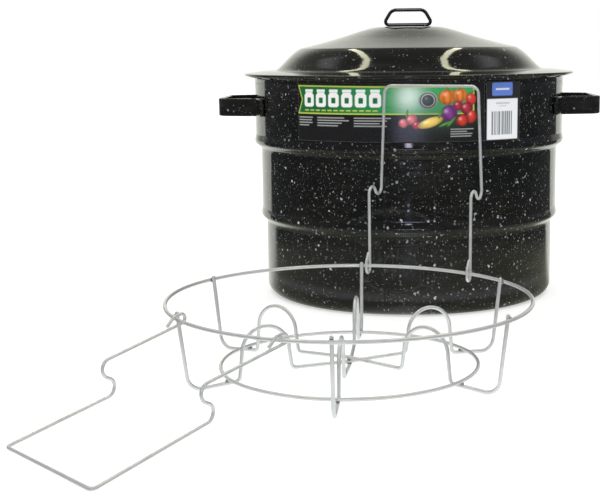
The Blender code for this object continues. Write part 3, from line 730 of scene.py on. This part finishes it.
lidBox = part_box("lid_shell")
lidSet = {
    "wall": 0.0011, "rollRadius": 0.0013, "brimRise": 0.0028, "brimWidth": 0.0345, "rimGap": 0.0003,
    "sideWidth": 0.0280, "sideTall": 0.0238, "crownTall": 0.0224, "flatRadius": 0.0306,
    "edgeRadius": lidBox[1].x, "restShare": 0.17,  # share of the rise at which the brim rests on the rim
}
lidSet["edgeTop"] = (potSet["rimTop"] + lidSet["rimGap"] + lidSet["wall"]
                     - lidSet["brimRise"] * lidSet["restShare"])


def lidLine():
    # centre of the crown outward: flat, soft slope, crease, rounded side, foot fillet, brim
    s = lidSet
    foot, footTop = s["edgeRadius"] - s["brimWidth"], s["edgeTop"] + s["brimRise"]
    crease, creaseTop = foot - s["sideWidth"], footTop + s["sideTall"]
    run = crease - s["flatRadius"]
    top = creaseTop + s["crownTall"]
    crown = [(0.0, top), (s["flatRadius"] * 0.5, top), (s["flatRadius"] * 0.92, top)]
    crown += [(s["flatRadius"] + run * share, creaseTop + s["crownTall"] * level) for share, level in
              ((0.05, 0.985), (0.12, 0.94), (0.24, 0.815), (0.38, 0.645), (0.54, 0.455), (0.72, 0.265),
               (0.88, 0.11), (0.975, 0.022))]
    side = [(crease + s["sideWidth"] * share, creaseTop - s["sideTall"] * level) for share, level in
            ((0.03, 0.012), (0.10, 0.055), (0.20, 0.130), (0.34, 0.258), (0.48, 0.405), (0.62, 0.570),
             (0.76, 0.735), (0.88, 0.870), (0.96, 0.945))]
    brim = [(foot + s["brimWidth"] * 0.045, footTop - s["brimRise"] * 0.01),
            (foot + s["brimWidth"] * 0.14, footTop - s["brimRise"] * 0.02),
            (foot + s["brimWidth"] * 0.36, footTop - s["brimRise"] * 0.12),
            (foot + s["brimWidth"] * 0.66, footTop - s["brimRise"] * 0.55),
            (s["edgeRadius"] - s["rollRadius"] * 2.3, s["edgeTop"] + s["brimRise"] * 0.06)]
    return softCurve(np.array(crown + side + brim), 5)


def makeLid():
    # upper line out, round the rolled edge, lower line back in, turned about Z
    s = lidSet
    upper = lidLine()
    lower = sideLine(upper, s["wall"])
    lower[0] = (0.0, upper[0, 1] - s["wall"])
    roll = arcPoints((s["edgeRadius"] - s["rollRadius"], s["edgeTop"] - s["rollRadius"]), s["rollRadius"],
                     84, -165, 16)
    lid = turnedPiece("lidShell", np.vstack([upper, roll, lower[::-1]]), 216)
    return finishPiece(lid, lidEnamel, "lid", "speckled_enamel", "lid_shell")


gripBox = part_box("lid_handle")
gripSet = {"thick": 0.0036, "wide": gripBox[1].y - gripBox[0].y, "footSpan": 0.0545, "topSpan": 0.0355,
           "bend": 0.0085, "edge": 0.00175, "weldAt": 0.016, "weldRadius": 0.0022, "dimple": 0.0005}


def makeLidHandle():
    # a band section carried round a closed trapezium with rounded corners, in the XZ plane
    s = gripSet
    low, high = gripBox[0].z + s["thick"] / 2, gripBox[1].z - s["thick"] / 2
    foot, top = s["footSpan"] / 2, s["topSpan"] / 2
    corners = [(0, 0, low), (foot, 0, low), (top, 0, high), (-top, 0, high), (-foot, 0, low), (0, 0, low)]
    route = roundedRoute(corners, [s["thick"], s["bend"], s["bend"], s["thick"]], 12)[:-1]
    route = evenRoute(route, 0.0011, closed=True)
    section = bandSection(s["thick"], s["wide"], s["edge"])
    points = sweptPoints(route, section, (0, 1, 0), True)
    for weldX in (-s["weldAt"], s["weldAt"]):  # pressed weld dimples in the top of the foot bar
        away = np.hypot(points[..., 0] - weldX, points[..., 1])
        onTop = (points[..., 2] > low) & (points[..., 2] < low + s["thick"])
        points[..., 2] -= np.where(onTop, s["dimple"] * np.exp(-(away / s["weldRadius"]) ** 2), 0)
    grip = gridPiece("lidGrip", points, wrapAcross=True, wrapAlong=True)
    return finishPiece(grip, handleEnamel, "lid", "speckled_enamel", "lid_handle")


makeLid()
makeLidHandle()
print("canner: lid made")


sideSet = {"thick": 0.0034, "reach": 0.0350, "gripSpan": 0.0920, "footStart": 19.0, "footEnd": 27.0,
           "bend": 0.0150, "edge": 0.00165, "wallGap": 0.00038, "endRound": 0.0075, "spacing": 0.0012,
           "weldAt": 4.6, "weldHeight": 0.0045, "weldRadius": 0.0019, "dimple": 0.0006}


def makeSideHandle(name, node, turn):
    # a tall band section along a level route: foot on the wall, bend, grip, bend, foot, with round ends
    s = sideSet
    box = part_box(node)
    level, tall = (box[0].z + box[1].z) / 2, box[1].z - box[0].z
    footRadius = potSet["topTier"] + s["wallGap"] + s["thick"] / 2
    grip = footRadius + s["reach"] - s["thick"] / 2
    angle = np.radians(np.linspace(s["footEnd"], s["footStart"], 7))
    foot = np.stack([footRadius * np.cos(angle), footRadius * np.sin(angle), 0 * angle], 1)
    half = [tuple(point) for point in foot] + [(grip, s["gripSpan"] / 2, 0)]
    corners = half + [(x, -y, z) for x, y, z in half[::-1]]
    bends = [0] * 5 + [s["bend"] / 2, s["bend"]]
    route = evenRoute(roundedRoute(corners, bends + bends[::-1], 12), s["spacing"])
    run = np.arange(len(route)) * s["spacing"]
    fromEnd = np.minimum(run, run[-1] - run)
    outline = np.sqrt(np.clip(1 - (1 - np.clip(fromEnd / s["endRound"], 0, 1)) ** 2, 0.02, 1))
    widths = np.stack([np.clip(0.55 + 0.45 * outline, 0, 1), outline], 1)
    section = bandSection(s["thick"], tall, s["edge"])
    points = sweptPoints(route, section, (0, 0, 1), False, widths)
    radial = np.hypot(points[..., 0], points[..., 1])
    bearing = np.degrees(np.arctan2(points[..., 1], points[..., 0]))
    for side in (-1, 1):
        for height in (-s["weldHeight"], s["weldHeight"]):  # two spot welds in each foot
            across = (bearing - side * (s["footStart"] + s["weldAt"])) * math.pi / 180 * footRadius
            away = np.hypot(across, points[..., 2] - height)
            press = s["dimple"] * np.exp(-(away / s["weldRadius"]) ** 2)
            press = np.where(radial > footRadius, press, 0)
            points[..., 0] -= press * np.cos(np.radians(bearing))
            points[..., 1] -= press * np.sin(np.radians(bearing))
    ends = [np.repeat(points[k].mean(0)[None], points.shape[1], 0)[None] for k in (0, -1)]
    points = np.concatenate([ends[0], points, ends[1]])
    handle = gridPiece(name, turned(points, turn) + (0, 0, level), wrapAcross=True)
    return finishPiece(handle, handleEnamel, "pot", "speckled_enamel", node)


makeSideHandle("rightSideHandle", "right_side_handle", 0.0)
makeSideHandle("leftSideHandle", "left_side_handle", math.pi)
print("canner: side handles made")


inkSet = {
    "black": (0.009, 0.009, 0.010), "greenDark": (0.006, 0.150, 0.040), "greenLight": (0.030, 0.400, 0.120),
    "outline": (0.50, 0.60, 0.07), "white": (0.86, 0.87, 0.86), "grey": (0.42, 0.43, 0.43),
    "slate": (0.055, 0.075, 0.075), "steel": (0.50, 0.53, 0.52), "orange": (0.84, 0.22, 0.02),
    "red": (0.60, 0.035, 0.02), "crimson": (0.42, 0.02, 0.05), "purple": (0.22, 0.04, 0.26),
    "yellow": (0.80, 0.58, 0.13), "pink": (0.66, 0.16, 0.17), "leaf": (0.07, 0.24, 0.04),
    "blue": (0.10, 0.20, 0.62), "paper": (0.80, 0.82, 0.86), "panel": (0.020, 0.021, 0.026),
}
edgeSoft = 0.45  # width of a printed edge, in mm


def printOver(inks, cover, ink):
    # what is there times (1 - cover), plus the new ink times cover
    ink = np.asarray(ink, float)
    return inks * (1 - cover[..., None]) + (ink if ink.ndim > 1 else ink[None, None]) * cover[..., None]


def coverOf(distance):
    # one inside an edge, nought outside, and a straight ramp across its soft width
    return np.clip(0.5 - distance / edgeSoft, 0, 1)


def boxDistance(u, v, centreU, centreV, halfU, halfV, corner=0.0):
    # signed distance to a rounded rectangle
    du, dv = np.abs(u - centreU) - halfU + corner, np.abs(v - centreV) - halfV + corner
    return np.hypot(np.maximum(du, 0), np.maximum(dv, 0)) + np.minimum(np.maximum(du, dv), 0) - corner


def ovalFrame(u, v, centreU, centreV, radiusU, radiusV, tilt=0.0):
    # the point in the oval's own unit frame, and its distance in mm
    c, s = math.cos(math.radians(tilt)), math.sin(math.radians(tilt))
    x = ((u - centreU) * c + (v - centreV) * s) / radiusU
    y = ((v - centreV) * c - (u - centreU) * s) / radiusV
    return x, y, (np.hypot(x, y) - 1) * min(radiusU, radiusV)


def printRound(inks, u, v, spot, size, ink, ribs=0, tilt=0.0, shine=0.55):
    # a shaded fruit: darker towards the rim and below, with ribs as cosines across and a soft highlight
    x, y, distance = ovalFrame(u, v, spot[0], spot[1], size[0], size[1], tilt)
    dome = np.sqrt(np.clip(1 - x * x - y * y, 0, 1))
    shade = 0.35 + 0.75 * dome + 0.18 * y
    if ribs:
        halfChord = np.maximum(np.sqrt(1 - np.clip(y * y, 0, 0.96)), 0.2)
        shade = shade * (0.80 + 0.20 * np.cos(ribs * np.arcsin(np.clip(x / halfChord, -1, 1))))
    glow = shine * np.exp(-((x + 0.3) ** 2 + (y - 0.38) ** 2) / 0.06)
    tone = np.clip(np.asarray(ink)[None, None] * shade[..., None] + glow[..., None] * 0.5, 0, 1)
    return printOver(inks, coverOf(distance), tone)


def printJar(inks, u, v, left, low, wide, tall, ink, window):
    # a plain jar: body, neck and lid band, with a small window in the body
    middle = left + wide / 2
    body = boxDistance(u, v, middle, low + tall * 0.37, wide / 2, tall * 0.37, wide * 0.22)
    neck = boxDistance(u, v, middle, low + tall * 0.76, wide * 0.36, tall * 0.05, 0.2)
    cap = boxDistance(u, v, middle, low + tall * 0.90, wide * 0.41, tall * 0.075, 0.4)
    inks = printOver(inks, coverOf(np.minimum(np.minimum(body, neck), cap)), ink)
    return printOver(inks,
                     coverOf(boxDistance(u, v, middle, low + tall * 0.36, wide * 0.20, tall * 0.16, 0.7)),
                     window)


def printBars(inks, u, v, left, right, top, rows, pitch, ink):
    # plain rules of uneven length
    for row in range(rows):
        end = left + (right - left) * draws.uniform(0.62, 1.0)
        bar = boxDistance(u, v, (left + end) / 2, top - row * pitch, (end - left) / 2, pitch * 0.20)
        inks = printOver(inks, coverOf(bar) * 0.85, ink)
    return inks


def labelInks(u, v):
    # u and v in mm from the label's lower left corner
    c = inkSet
    inks = np.ones(u.shape + (1,)) * np.asarray(c["black"])
    slope = 55.2 - (u - 0.6) * 0.0081
    notch = 5.2 - np.abs(v - 41.0) * 0.36
    banner = np.maximum.reduce([v - slope, 26.8 - v, notch - u, u - 186.5])
    inks = printOver(inks, coverOf(banner), c["outline"])
    blend = np.clip((u - 30) / 110, 0, 1)[..., None]
    green = np.asarray(c["greenDark"]) * (1 - blend) + np.asarray(c["greenLight"]) * blend
    inks = printOver(inks, coverOf(banner + 1.25),
                     green * (0.86 + 0.14 * np.clip((v - 27) / 28, 0, 1))[..., None])
    for index in range(6):
        inks = printJar(inks, u, v, 9.0 + 14.6 * index, 34.0, 11.8, 17.6, c["white"], c["greenDark"])
    for index in range(12):
        dash = boxDistance(u, v, 12.0 + 6.9 * index, 30.6, 2.5, 0.6, 0.4)
        inks = printOver(inks, coverOf(dash), c["outline"])
    for left, right, rows in ((1.5, 21, 4), (25, 61, 4), (66, 104, 4)):
        inks = printBars(inks, u, v, left, right, 23.4, rows, 2.6, c["grey"])
    inks = printBars(inks, u, v, 162, 186, 12.2, 4, 2.3, c["grey"])
    # a whitish patch on the banner at the front: partly the label's own print fading from green to white,
    # partly a painted highlight of the front light
    printAndSheen = np.exp(-((u - 121) / 13) ** 2 - ((v - 44) / 13) ** 2) * 0.80 * coverOf(banner + 1.25)
    inks = printOver(inks, printAndSheen, (0.80, 0.90, 0.84))
    glow = np.exp(-((u - 150) / 30) ** 2 - ((v - 28) / 15) ** 2) * 0.45
    inks = printOver(inks, glow, (0.10, 0.16, 0.12))
    for radius, ink in ((9.4, c["steel"]), (8.2, c["slate"]), (7.2, c["steel"]), (5.8, c["slate"])):
        inks = printRound(inks, u, v, (139.5, 40.5), (radius, radius * 0.93), ink, shine=0.25)
    for spot, size, ink, ribs, tilt in (
            ((158.5, 43.5), (8.8, 7.4), c["orange"], 7, 0), ((171.5, 45.0), (7.6, 6.6), c["orange"], 7, 0),
            ((183.0, 41.0), (5.4, 6.0), c["red"], 0, 0), ((169.5, 35.0), (5.2, 4.8), c["crimson"], 3, 0),
            ((178.5, 32.5), (6.6, 6.0), c["crimson"], 4, 15), ((183.5, 24.0), (5.8, 6.4), c["red"], 3, -10),
            ((174.0, 20.5), (6.6, 5.4), c["red"], 3, 10), ((160.5, 28.0), (8.4, 7.8), c["purple"], 5, 20),
            ((115.5, 18.5), (5.0, 4.4), c["pink"], 3, 0), ((123.5, 22.0), (5.8, 5.0), c["pink"], 4, 30),
            ((128.5, 16.5), (4.6, 3.8), c["crimson"], 0, 0),
            ((142.0, 19.0), (13.2, 4.7), c["yellow"], 2, 18)):
        inks = printRound(inks, u, v, spot, size, ink, ribs, tilt)
    for spot, size, tilt in (((157.0, 17.5), (8.0, 1.5), 22), ((163.0, 19.5), (7.0, 1.3), 48),
                             ((152.0, 27.5), (5.0, 1.4), 65),
                             ((171.5, 52.3), (2.6, 1.0), 70), ((158.5, 51.6), (2.8, 1.0), 110),
                             ((183.0, 47.8), (3.2, 1.1), 20), ((119.0, 27.5), (4.4, 1.0), 80)):
        inks = printRound(inks, u, v, spot, size, c["leaf"], tilt=tilt, shine=0.2)
    return inks


def stickerInks(u, v, wide):
    # dark panel with a plain blue tab above and a white slip with upright bars below
    c = inkSet
    inks = np.ones(u.shape + (1,)) * np.asarray(c["panel"])
    for middle, height, halfWide, halfTall, corner, share, ink in (
            (0.475, 20.6, 0.452, 20.0, 0.5, 1.0, "paper"), (0.46, 50.1, 0.30, 6.5, 1.6, 1.0, "blue"),
            (0.46, 50.1, 0.20, 0.9, 0.4, 0.8, "paper"), (0.47, 36.3, 0.20, 0.8, 0.3, 0.8, "grey"),
            (0.47, 33.6, 0.12, 0.5, 0.2, 0.6, "grey")):
        cover = coverOf(boxDistance(u, v, wide * middle, height, wide * halfWide, halfTall, corner))
        inks = printOver(inks, cover * share, c[ink])
    at = wide * 0.17
    while at < wide * 0.78:
        thick = draws.choice([0.7, 1.0, 1.4, 1.9])
        inks = printOver(inks, coverOf(boxDistance(u, v, at, 16.8, thick / 2, 11.6)) * 0.80, c["slate"])
        at += thick + draws.choice([0.7, 0.9, 1.3])
    return inks


paperSet = {"start": -40.6, "end": 26.2, "stickerStart": 26.8, "stickerEnd": 41.0,
            "radius": potSet["topTier"] + 0.00068, "thick": 0.0003}


def makePaper(name, node, start, end, columns, rows, material, slot, inksOf):
    # a curved sheet: (R sin a, -R cos a, z), printed through a colour attribute, given its thickness inward
    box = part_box(node)
    s = paperSet
    angle = np.radians(np.linspace(start, end, columns))
    height = np.linspace(box[0].z, box[1].z, rows)
    a, z = np.meshgrid(angle, height, indexing="ij")
    points = np.stack([s["radius"] * np.sin(a), -s["radius"] * np.cos(a), z], -1)
    u, v = (a - angle[0]) * s["radius"] / mm, (z - height[0]) / mm
    paper = gridPiece(name, points, merge=False)
    inks = np.concatenate([np.clip(inksOf(u, v), 0, 1), np.ones(u.shape + (1,))], -1)
    layer = paper.data.color_attributes.new("printInk", "FLOAT_COLOR", "POINT")
    layer.data.foreach_set("color", inks.reshape(-1).astype(np.float32))
    thicken = paper.modifiers.new("paperThickness", "SOLIDIFY")
    thicken.thickness = s["thick"]
    thicken.offset = -1.0
    return finishPiece(paper, material, "pot", slot, node)


def makePapers():
    s = paperSet
    wide = math.radians(s["stickerEnd"] - s["stickerStart"]) * s["radius"] / mm
    makePaper("printedLabel", "paper_label", s["start"], s["end"], 350, 116, labelPaper, "printed_label",
              labelInks)
    makePaper("pricePanel", "price_sticker", s["stickerStart"], s["stickerEnd"], 120, 116, stickerPaper,
              "price_sticker", lambda u, v: stickerInks(u, v, wide))


makePapers()
print("canner: label and sticker printed")


ringBox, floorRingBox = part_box("rack_top_ring"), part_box("rack_bottom_ring")
rackSet = {
    "wire": (ringBox[1].z - ringBox[0].z) / 2, "centreX": (ringBox[0].x + ringBox[1].x) / 2,
    "centreY": (ringBox[0].y + ringBox[1].y) / 2, "ringHeight": (ringBox[0].z + ringBox[1].z) / 2,
    "floorRingHeight": (floorRingBox[0].z + floorRingBox[1].z) / 2,
    "ringRadius": 0.1525, "floorRingRadius": 0.1083, "turn": 28.0,
    "legLean": 0.0080, "legAbove": 0.0030, "legBend": 0.0120, "outerFoot": 0.0990, "innerFoot": 0.0530,
    "archTop": 0.0468, "archRadius": 0.0205, "footBend": 0.0040, "baseRise": 0.0024, "innerHeight": 0.0092,
    "centreHeight": 0.0046, "levels": (1, 0, 2), "shifts": (0.0008, 0.0, 0.0008), "gap": 0.0003,
}


def toRack(points, turn=0.0):
    # turned about the rack's own axis and moved to where the rack stands
    return turned(points, turn) + (rackSet["centreX"], rackSet["centreY"], 0)


def ringRoute(radius, height):
    # a level circle with a faint hand-made unevenness
    angle = np.linspace(0, 2 * math.pi, 720, endpoint=False)
    uneven = radius + 0.00018 * np.sin(3 * angle + 0.6) + 0.0001 * np.sin(7 * angle)
    rise = height + 0.0001 * np.sin(5 * angle)
    return np.stack([uneven * np.cos(angle), uneven * np.sin(angle), rise], 1)


def crossHalf(level, shift):
    # leg down, bend, run in under the floor ring, up and over the arch, run to the centre
    s = rackSet
    middle = (s["outerFoot"] + s["innerFoot"]) / 2 + shift
    spring = s["archTop"] - s["archRadius"]
    legTop = s["ringRadius"] - 2 * s["wire"] - s["gap"]
    footRadius = legTop - s["legLean"]
    slope = s["baseRise"] / (footRadius - s["outerFoot"] - shift)
    outer = roundedRoute([(legTop, 0, s["ringHeight"] + s["legAbove"]),
                          (footRadius, 0, s["wire"] - s["legBend"] * slope),
                          (s["outerFoot"] + shift, 0, s["wire"] + s["baseRise"]),
                          (middle + s["archRadius"], 0, spring)],
                         [s["legBend"], s["footBend"]], 12)
    arch = arcPoints((middle, spring), s["archRadius"], 0, 180, 24)[1:-1]
    arch = np.stack([arch[:, 0], 0 * arch[:, 0], arch[:, 1]], 1)
    inner = roundedRoute([(middle - s["archRadius"], 0, spring),
                          (s["innerFoot"] + shift, 0, s["innerHeight"]),
                          (0, 0, s["centreHeight"] + level * (2 * s["wire"] + s["gap"]))], [s["footBend"]],
                         12)
    return np.vstack([outer, arch, inner])


def makeRack():
    # two rings, then three cross wires a sixth of a turn apart
    s = rackSet
    rings = (("rackTopRing", "rack_top_ring", s["ringRadius"], s["ringHeight"]),
             ("rackFloorRing", "rack_bottom_ring", s["floorRingRadius"], s["floorRingHeight"]))
    for name, node, radius, height in rings:
        ring = wirePiece(name, toRack(ringRoute(radius, height)), s["wire"], closed=True, lean=(0, 0, 1),
                         spacing=0.0016)
        finishPiece(ring, brightWire, "rack", "bright_wire", node)
    for index, (level, shift) in enumerate(zip(s["levels"], s["shifts"])):
        turn = math.radians(s["turn"] + index * 60)
        half, opposite = crossHalf(level, shift), crossHalf(level, -shift)
        route = np.vstack([half, (opposite * (-1, 1, 1))[-2::-1]])
        across = (-math.sin(turn), math.cos(turn), 0)
        wire = wirePiece("rackCrossWire" + str(index + 1), toRack(route, turn), s["wire"], lean=across)
        finishPiece(wire, brightWire, "rack", "bright_wire", "rack_cross_wire_" + str(index + 1))


def beadPiece(name, centres, sizes, turns):
    # many weld beads in one mesh: ovals with slow bumps, (a cos p cos q, b cos p sin q, c sin p)
    rows, columns = 13, 18
    p = np.linspace(-math.pi / 2, math.pi / 2, rows)[None, :, None]
    q = (np.arange(columns) * 2 * math.pi / columns)[None, None, :]
    phase = draws.uniform(0, 6, (len(centres), 1, 1))
    lump = 1 + 0.10 * np.sin(3 * q + phase) * np.cos(p) + 0.07 * np.sin(5 * p + phase)
    sizes, centres, turns = np.asarray(sizes, float), np.asarray(centres, float), np.asarray(turns, float)
    x = sizes[:, 0, None, None] * np.cos(p) * np.cos(q) * lump
    y = sizes[:, 1, None, None] * np.cos(p) * np.sin(q) * lump
    z = sizes[:, 2, None, None] * np.sin(p) * (1 + 0 * lump)
    points = turned(np.stack([x, y, z], -1), turns[:, None, None]) + centres[:, None, None]
    work = [gridPiece(name + str(k), points[k], wrapAcross=True) for k in range(len(points))]
    joined = bmesh.new()
    for bead in work:
        joined.from_mesh(bead.data)
        bpy.data.objects.remove(bead)
    mesh = bpy.data.meshes.new(name)
    joined.to_mesh(mesh)
    joined.free()
    mesh.polygons.foreach_set("use_smooth", np.ones(len(mesh.polygons), bool))
    piece = bpy.data.objects.new(name, mesh)
    bpy.context.scene.collection.objects.link(piece)
    return piece


beadSet = {  # half sizes of one bead: inward, across and up
    "ring": (0.0013, 0.0022, 0.0021), "floor": (0.0021, 0.0021, 0.0012), "centre": (0.0024, 0.0022, 0.0012),
    "centreTurns": (40.0, 100.0),
}


def makeWelds():
    # beads where legs meet the top ring, where base runs meet the floor ring, and at the centre crossing
    s = rackSet
    legRadius = s["ringRadius"] - s["wire"] - s["gap"] / 2
    turns = np.radians(s["turn"] + 60 * np.arange(6))

    def spots(radius, height):
        return toRack(np.stack([radius * np.cos(turns), radius * np.sin(turns), height + 0 * turns], 1))

    upper = beadPiece("ringWelds", spots(legRadius, s["ringHeight"]), [beadSet["ring"]] * 6, turns)
    finishPiece(upper, weldMetal, "rack", "bright_wire")
    lower = beadPiece("floorWelds",
                      spots(s["floorRingRadius"], s["floorRingHeight"] - s["wire"] - s["gap"] / 2),
                      [beadSet["floor"]] * 6, turns)
    finishPiece(lower, weldMetal, "rack", "bright_wire")
    steps = s["centreHeight"] + (np.arange(2) + 0.5) * (2 * s["wire"] + s["gap"])
    middle = beadPiece("centreWelds", toRack(np.stack([0 * steps, 0 * steps, steps], 1)),
                       [beadSet["centre"]] * 2, np.radians(beadSet["centreTurns"]))
    finishPiece(middle, weldMetal, "rack", "bright_wire")


makeRack()
makeWelds()
print("canner: rack made")


bailSet = {
    "wire": 0.00135, "hookGap": 0.00095, "hookDrop": 0.0030, "tail": 0.0120, "offset": 0.0314,
    "jogBend": 0.0072, "jogDip": 0.0084,
    "rear": {"turn": 66.0, "lean": 0.0, "footSpan": 0.1030, "jogSpan": 0.1036, "topSpan": 0.0955,
             "jogHeight": 0.0752, "long": 0.1705, "skew": 0.0, "corner": 0.0075},
    "front": {"turn": 233.4, "lean": None, "footSpan": 0.1070, "jogSpan": 0.1030, "topSpan": 0.1063,
              "jogHeight": 0.0800, "long": 0.1741, "skew": 0.0128, "corner": 0.0040},
}


def halfSpan(sizes, height):
    # half the distance between the legs: one straight taper up to the jog, another above it
    foot, jog, top, jogHeight = (sizes[key] for key in ("footSpan", "jogSpan", "topSpan", "jogHeight"))
    below = foot + (jog - foot) * np.clip(height / jogHeight, 0, 1)
    share = np.clip((height - jogHeight) / (sizes["long"] - jogHeight), 0, 1)
    return (below + (top - jog) * share) / 2


def bailRoute(sizes):
    # in the handle's own frame: X along the hinge, Y outward, Z up the handle
    s = bailSet
    hook = rackSet["wire"] + s["wire"] + s["hookGap"]
    clear = 2 * s["wire"] + rackSet["gap"]
    hookLine = np.vstack([[(hook - clear, s["tail"]), (-hook, hook)],
                          arcPoints((0.0, -s["hookDrop"]), hook, 180, 360, 24)])
    first = np.array((hook + s["jogBend"], sizes["jogHeight"] - s["jogBend"]))
    second = np.array((s["offset"] - s["jogBend"], sizes["jogHeight"] - s["jogDip"] + s["jogBend"]))
    between = second - first
    slope = math.degrees(math.atan2(between[1], between[0]))
    meet = slope + math.degrees(math.acos(min(1.0, 2 * s["jogBend"] / np.linalg.norm(between))))
    jog = np.vstack([arcPoints(first, s["jogBend"], 180, meet, 16),
                     arcPoints(second, s["jogBend"], 180 + meet, 360, 16)])
    line = np.vstack([hookLine, jog])
    middle = np.array((0.0, s["offset"], sizes["long"]))
    halves = []
    for sign in (1, -1):
        leg = np.stack([sign * halfSpan(sizes, line[:, 1]), line[:, 0], line[:, 1]], 1)
        top = np.array((sign * halfSpan(sizes, sizes["long"]), s["offset"],
                        sizes["long"] - sign * sizes["skew"] / 2))
        halves.append(np.vstack([leg[:-1],
                                 roundedRoute([leg[-1], top, middle], [sizes["corner"]], 12)[:-1]]))
    return np.vstack([halves[0], middle[None], halves[1][::-1]])


def lyingLean(sizes):
    # how far a handle leans out when its longer corner touches the floor
    longest = sizes["long"] + abs(sizes["skew"]) / 2
    drop = rackSet["ringHeight"] - bailSet["wire"] - rackSet["gap"]
    offset = bailSet["offset"]
    return math.pi / 2 + math.asin(drop / math.hypot(longest, offset)) - math.atan2(offset, longest)


def makeBail(name, node, sizes):
    # the route leaned about the hinge, turned to its bearing and moved out to the ring's chord
    lean = lyingLean(sizes) if sizes["lean"] is None else sizes["lean"]
    turn = math.radians(sizes["turn"])
    route = bailRoute(sizes)
    leaned = turned(route, -lean, 1, 2)
    out = math.sqrt(rackSet["ringRadius"] ** 2 - (sizes["footSpan"] / 2) ** 2)
    moved = toRack(leaned + (0, out, rackSet["ringHeight"]), turn - math.pi / 2)
    # a direction that the wire never runs along: the frame's diagonal, leaned and turned with the handle
    clearWay = turned(turned(np.full(3, 0.577), -lean, 1, 2), turn - math.pi / 2)
    bail = wirePiece(name, moved, bailSet["wire"], lean=clearWay)
    return finishPiece(bail, brightWire, node, "bright_wire", node)


makeBail("rearBail", "rear_lift_handle", bailSet["rear"])
makeBail("frontBail", "front_lift_handle", bailSet["front"])
print("canner: lift handles made")

print("canner: all pieces made")
